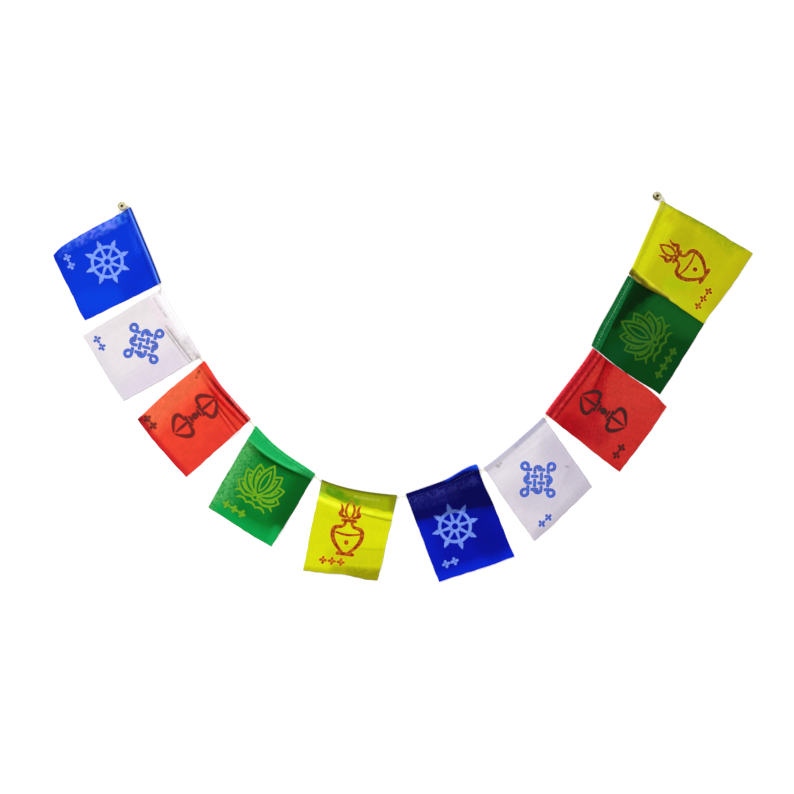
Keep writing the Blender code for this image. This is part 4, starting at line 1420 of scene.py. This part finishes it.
def add_flag(name):
    """One flag's cloth: a grid laid through its hem, its fold and its printed field."""
    shape = FlagShape(name)
    run = ClothRun(shape)
    bm = bmesh.new()
    bmesh.ops.create_grid(bm, x_segments=run.columns, y_segments=run.rows, size=1.0)
    mesh = mesh_from(bm, name + "_cloth")
    corners = places_of(mesh).astype(float)
    u = (corners[:, 0] + 1) / 2
    row = np.round((1 - corners[:, 1]) / 2 * run.rows)
    down, height, along, in_hem = run.points(u, row)
    plan = shape.plan(u, down)
    places = in_frame(np.column_stack([plan, height]))
    mesh.vertices.foreach_set("co", places.astype(np.float32).ravel())

    # Dye colours with painted light and shade in them.
    dye = dye_light_and_shade_colours(shape, u, down, in_hem)
    set_attribute(mesh, "dye", "FLOAT_COLOR", np.column_stack([dye, np.ones(len(u))]))
    set_attribute(mesh, "print", "FLOAT", print_distance(shape, plan, in_hem | (down < 0)))
    set_attribute(mesh, "press", "FLOAT", print_strength(shape, u, down))
    from_sides = np.minimum(u, 1 - u) * shape.place.width
    from_ends = np.where(in_hem, shape.hem_depth(u) - down, shape.length(u) - down)
    set_attribute(mesh, "edge", "FLOAT", np.minimum(from_sides, from_ends))

    uv = mesh.uv_layers.new(name="Cloth")
    loops = np.zeros(len(mesh.loops), dtype=np.int32)
    mesh.loops.foreach_get("vertex_index", loops)
    flat = np.column_stack([u * shape.place.width, -along]) * MM
    uv.uv.foreach_set("vector", flat[loops].astype(np.float32).ravel())
    mesh.shade_smooth()

    colour = shape.colour_name
    materials = cloth_material(colour, "front"), cloth_material(colour, "back")
    piece = add_piece(name + "_cloth", mesh, "cloth_" + colour, *materials)
    thickness = piece.modifiers.new("Cloth thickness", "SOLIDIFY")
    thickness.thickness = settings().cloth.thickness
    thickness.offset = 0.0
    thickness.material_offset = 1
    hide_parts(name)
    return piece


def add_stitches(name):
    """The seam that closes a casing: a row of stitches on its front and one on its back."""
    cloth = settings().cloth
    shape = FlagShape(name)
    spacing = cloth.stitch_spacing / MM
    count = int((shape.place.width - 3.0) / spacing)
    u = (1.5 + (np.arange(count) + 0.5) * spacing) / shape.place.width
    down = np.full(count, shape.seam)
    plan = shape.plan(u, down)
    ahead = shape.plan(u + 0.01, down) - plan
    half_cloth = cloth.thickness / 2 / MM
    thread = cloth.stitch_thickness / 2 / MM
    top = shape.height(u, down, True) + half_cloth + 0.3 * thread
    bottom = shape.height(u, down, False) - half_cloth
    bm = bmesh.new()
    for heights, tilt in ((top, 0.10), (np.maximum(bottom, thread), -0.06)):
        for number in range(count):
            place = Vector(in_frame([*plan[number], heights[number]]))
            heading = math.atan2(ahead[number, 1], ahead[number, 0]) + tilt
            size = Matrix.Diagonal((cloth.stitch_length / 2, thread * MM, thread * MM * 0.8, 1.0))
            turn = Matrix.Rotation(heading, 4, "Z")
            bmesh.ops.create_uvsphere(
                bm,
                u_segments=8,
                v_segments=6,
                radius=1.0,
                matrix=Matrix.Translation(place) @ turn @ size @ Matrix.Rotation(math.pi / 2, 4, "Y"),
            )
    mesh = mesh_from(bm, name + "_stitches")
    mesh.shade_smooth()
    colour = name.split("_")[-1]
    # Without a thread of their own, stitches take the double cloth's colour, with its painted light and
    # shade.
    thread_colour = linear(THREADS.get(name, LOOKS[name].double))
    pale = np.minimum(thread_colour * 1.3, 1.0)
    material = thread_material(colour + " sewing thread " + name[5:7], thread_colour, pale)
    return add_piece(name + "_stitches", mesh, "cloth_" + colour, material)


def cut_size(name):
    """The size that a flag was cut to: its casing's width, and its whole run with the hem."""
    shape = FlagShape(name)
    middle = shape.length(np.array([0.5]))[0]
    hem = (shape.hem.left + shape.hem.right) / 2
    return shape.place.width * MM, (middle + hem + math.pi * FOLD_RADIUS) * MM


class GARLAND_OT_add_string(bpy.types.Operator):
    """Adds the twisted string along its whole route"""

    bl_idname = "garland.add_string"
    bl_label = "Add String"

    def execute(self, context):
        string = settings().string
        step = 0.6
        distances = np.linspace(0, LINE.length, round(LINE.length / step) + 1)
        middle = LINE.at(distances)
        heading = np.gradient(middle, axis=0)
        heading /= np.linalg.norm(heading, axis=1)[:, None]
        aside = np.cross(heading, (0, 0, 1))
        aside /= np.linalg.norm(aside, axis=1)[:, None]
        above = np.cross(aside, heading)
        strand_radius = STRING_DIAMETER / 2 * STRAND_SHARE
        offset = STRING_DIAMETER / 2 - strand_radius
        strands = []
        for number in range(string.strands):
            turn = math.tau * (distances * MM / string.twist + number / string.strands)
            around = aside * np.cos(turn)[:, None] + above * np.sin(turn)[:, None]
            strands.append(middle + offset * around)
        mesh = tubes("twisted_string", strands, strand_radius, 2)
        colour = np.array(string.colour)
        material = thread_material("cotton string", colour, np.minimum(colour * 1.15, 1.0))
        piece = add_piece("twisted_string", mesh, "string", material)
        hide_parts("string")
        hidden_ends = [self.add_tail(material), self.add_knots()]
        return {"FINISHED"}

    def add_knots(self):
        """The knot that stops the string in each bead's upright bore."""
        bm = bmesh.new()
        for number, bead in enumerate(BEADS.values()):
            for turn in (0.0, 1.3):
                lean = Matrix.Rotation(turn, 4, "Z") @ Matrix.Rotation(0.5, 4, "X")
                size = Matrix.Diagonal((1.0, 1.0, 0.62, 1.0))
                place = Matrix.Translation(in_frame([bead.x, bead.y, BEAD_SIDE_BORE_HEIGHT + 0.3 * turn]))
                strand = bmesh.ops.create_uvsphere(
                    bm, u_segments=20, v_segments=12, radius=KNOT_RADIUS * MM, matrix=place @ lean @ size
                )
                for face in {face for vert in strand["verts"] for face in vert.link_faces}:
                    face.material_index = number
        mesh = mesh_from(bm, "string_knots")
        mesh.shade_smooth()
        # The knots' colours carry painted light and shade: the tarnish colour darkened for the right bead's
        # bore and lightened for the left one's, to stand for the light in each bore.
        soiled = np.array(settings().beads.tarnish)
        pale_knot = thread_material("pale knot", soiled * 1.7, soiled * 2.6)
        dark_knot = thread_material("dark knot", soiled * 0.6, soiled)
        return add_piece("string_knots", mesh, "string", pale_knot, dark_knot)

    def add_tail(self, material):
        """The string's short end, which leaves the left bead underneath and runs to the flag."""
        bead = BEADS["bead_left"]
        corners = [
            (bead.x - 2.0, bead.y - 2.6, 1.4),
            (bead.x - 4.2, bead.y - 4.4, 0.9),
            (bead.x - 3.6, bead.y - 6.6, 0.5),
            (bead.x - 2.0, bead.y - 7.6, 0.5),
        ]
        mesh = tubes("string_tail", [rounded(corners, 8)], TAIL_RADIUS, 3)
        return add_piece("string_tail", mesh, "string", material)


class GARLAND_OT_add_flags(bpy.types.Operator):
    """Adds the cloth and the sewn casing of every flag"""

    bl_idname = "garland.add_flags"
    bl_label = "Add Flags"

    def execute(self, context):
        for name in PLACES:
            cloth = add_flag(name)
            stitches = add_stitches(name)
            cut_size(name)
        return {"FINISHED"}


class GARLAND_OT_add_beads(bpy.types.Operator):
    """Adds the drilled brass bead at each end of the string"""

    bl_idname = "garland.add_beads"
    bl_label = "Add Beads"

    def profile(self):
        """Half of the bead's section, from the bore's lower edge to its upper edge."""
        radius = BEAD_DIAMETER / 2
        rise = math.acos(BEAD_FACE_DIAMETER / 2 / radius)
        middle = radius * math.sin(rise)
        arc = np.linspace(-rise, rise, BEAD_ARC_STEPS + 1)
        outside = [(radius * math.cos(angle), middle + radius * math.sin(angle)) for angle in arc]
        bore = BEAD_BORE / 2
        top = 2 * middle
        eased = bore + BEAD_LIP / 2
        return [(bore, BEAD_LIP), (eased, 0.0), *outside, (eased, top), (bore, top - BEAD_LIP)]

    def add_bead(self, name):
        bead = BEADS[name]
        bm = bmesh.new()
        verts = [bm.verts.new((x * MM, 0.0, z * MM)) for x, z in self.profile()]
        edges = [bm.edges.new(pair) for pair in zip(verts, verts[1:] + verts[:1])]
        bmesh.ops.spin(
            bm,
            geom=verts + edges,
            cent=(0, 0, 0),
            axis=(0, 0, 1),
            angle=math.tau,
            steps=settings().beads.sides,
            use_merge=True,
        )
        bmesh.ops.remove_doubles(bm, verts=bm.verts, dist=0.001 * MM)
        bmesh.ops.recalc_face_normals(bm, faces=bm.faces)
        stand = in_frame([bead.x, bead.y, 0.0])
        bmesh.ops.translate(bm, verts=bm.verts, vec=stand)
        drilled = self.drill(mesh_from(bm, name + "_brass"), stand, bead)
        corners = places_of(drilled)
        from_axis = np.linalg.norm(corners[:, :2] - stand[:2], axis=1) / MM
        heights = corners[:, 2] / MM
        in_bore = smooth_step((BEAD_BORE / 2 + 0.15 - from_axis) / 0.3)
        # Dulled all over, and darker still on one side: painted dark reflection.
        aside = (corners[:, :2] - stand[:2]) / MM @ np.array(bead.dull_side)
        darkened = bead.dullness * (0.36 + 0.64 * smooth_step((aside - 0.6) / 2.4))
        # Darker towards the bottom.
        underneath = smooth_step((3.2 - heights) / 3.0)
        set_attribute(drilled, "tarnish", "FLOAT", np.clip(in_bore + darkened + 0.5 * underneath, 0, 1))
        drilled.shade_smooth()
        drilled.set_sharp_from_angle(angle=math.radians(50))
        piece = add_piece(name + "_brass", drilled, "brass", brass_material())
        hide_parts(name)

    def drill(self, mesh, stand, bead):
        """The mesh with the bore that takes the string, from the side to the upright bore."""
        solid = bpy.data.objects.new("solid", mesh)
        cutter = bmesh.new()
        length = BEAD_DIAMETER * MM
        turn = Matrix.Rotation(math.radians(bead.string_angle), 4, "Z")
        out = Matrix.Translation((length / 2, 0.0, BEAD_SIDE_BORE_HEIGHT * MM))
        lay_down = Matrix.Rotation(math.pi / 2, 4, "Y")
        bmesh.ops.create_cone(
            cutter,
            cap_ends=True,
            segments=24,
            radius1=BEAD_SIDE_BORE / 2 * MM,
            radius2=BEAD_SIDE_BORE / 2 * MM,
            depth=length,
            matrix=Matrix.Translation(stand) @ turn @ out @ lay_down,
        )
        drill = bpy.data.objects.new("drill", mesh_from(cutter, "drill"))
        for obj in (solid, drill):
            bpy.context.scene.collection.objects.link(obj)
        bore = solid.modifiers.new("Side bore", "BOOLEAN")
        bore.operation = "DIFFERENCE"
        bore.object = drill
        bpy.context.view_layer.update()
        cut = bpy.data.meshes.new_from_object(solid.evaluated_get(bpy.context.evaluated_depsgraph_get()))
        for obj in (solid, drill):
            bpy.data.objects.remove(obj)
        return cut

    def execute(self, context):
        for name in BEADS:
            self.add_bead(name)
        return {"FINISHED"}


class GARLAND_OT_add_stage(bpy.types.Operator):
    """Adds the floor, the soft lights and the camera straight above"""

    bl_idname = "garland.add_stage"
    bl_label = "Add Stage"

    def add_light(self, name, place, size, power):
        light = bpy.data.lights.new(name, "AREA")
        light.shape = "DISK"
        light.size = size
        light.energy = power
        lamp = bpy.data.objects.new(name, light)
        lamp.location = place
        lamp.rotation_euler = (-Vector(place)).to_track_quat("-Z", "Y").to_euler()
        bpy.context.scene.collection.objects.link(lamp)

    def execute(self, context):
        stage = settings().stage
        scene = context.scene
        bm = bmesh.new()
        bmesh.ops.create_grid(bm, x_segments=1, y_segments=1, size=FLOOR_REACH)
        bmesh.ops.translate(bm, verts=bm.verts, vec=(0, 0, -FLOOR_BELOW * MM))
        mesh = mesh_from(bm, "floor")
        floor = bpy.data.objects.new("floor", mesh)
        scene.collection.objects.link(floor)
        material, wires, shader = new_material("pale floor")
        shader.inputs["Base Color"].default_value = (*stage.floor, 1.0)
        shader.inputs["Roughness"].default_value = 0.9
        shader.inputs["Emission Color"].default_value = (1.0, 1.0, 1.0, 1.0)
        shader.inputs["Emission Strength"].default_value = stage.glow
        mesh.materials.append(material)

        world = bpy.data.worlds.new("Soft sky")
        world.use_nodes = True
        sky = world.node_tree.nodes["Background"]
        sky.inputs["Color"].default_value = (1.0, 1.0, 1.0, 1.0)
        sky.inputs["Strength"].default_value = stage.sky
        scene.world = world
        self.add_light("Key light", (-1.5, 1.3, 1.9), 1.2, stage.key_power)
        self.add_light("Fill light", (1.8, -1.2, 2.4), 2.0, stage.fill_power)

        camera_data = bpy.data.cameras.new("Camera")
        camera_data.lens = stage.lens
        camera = bpy.data.objects.new("Camera", camera_data)
        above = stage.view_width * stage.lens / camera_data.sensor_width
        middle = in_frame([*PICTURE_MIDDLE, 0.0])
        camera.location = (middle[0], middle[1], above)
        scene.collection.objects.link(camera)
        scene.camera = camera
        scene.view_settings.view_transform = "Standard"
        return {"FINISHED"}


class GARLAND_PT_pieces(bpy.types.Panel):
    """Lists the garland's pieces and settings"""

    bl_idname = "GARLAND_PT_pieces"
    bl_label = "Prayer Flag Garland"
    bl_space_type = "VIEW_3D"
    bl_region_type = "UI"
    bl_category = "Garland"

    def draw(self, context):
        layout = self.layout
        groups = context.scene.garland
        rows = (
            ("Stage", groups.stage, GARLAND_OT_add_stage),
            ("String", groups.string, GARLAND_OT_add_string),
            ("Cloth", groups.cloth, GARLAND_OT_add_flags),
            ("Dyes", groups.dyes, None),
            ("Inks", groups.inks, None),
            ("Beads", groups.beads, GARLAND_OT_add_beads),
        )
        for title, group, operator in rows:
            box = layout.box()
            box.label(text=title)
            for name in group.__annotations__:
                box.prop(group, name)
            if operator:
                box.operator(operator.bl_idname)


CLASSES = (
    ClothSettings,
    DyeSettings,
    InkSettings,
    StringSettings,
    BeadSettings,
    StageSettings,
    GarlandSettings,
    GARLAND_OT_add_stage,
    GARLAND_OT_add_string,
    GARLAND_OT_add_flags,
    GARLAND_OT_add_beads,
    GARLAND_PT_pieces,
)


def register():
    for made in CLASSES:
        bpy.utils.register_class(made)
    bpy.types.Scene.garland = PointerProperty(type=GarlandSettings)


def unregister():
    del bpy.types.Scene.garland
    for made in reversed(CLASSES):
        bpy.utils.unregister_class(made)


def main():
    register()
    bpy.ops.garland.add_stage()
    bpy.ops.garland.add_string()
    bpy.ops.garland.add_flags()
    bpy.ops.garland.add_beads()


if __name__ == "__main__":
    main()
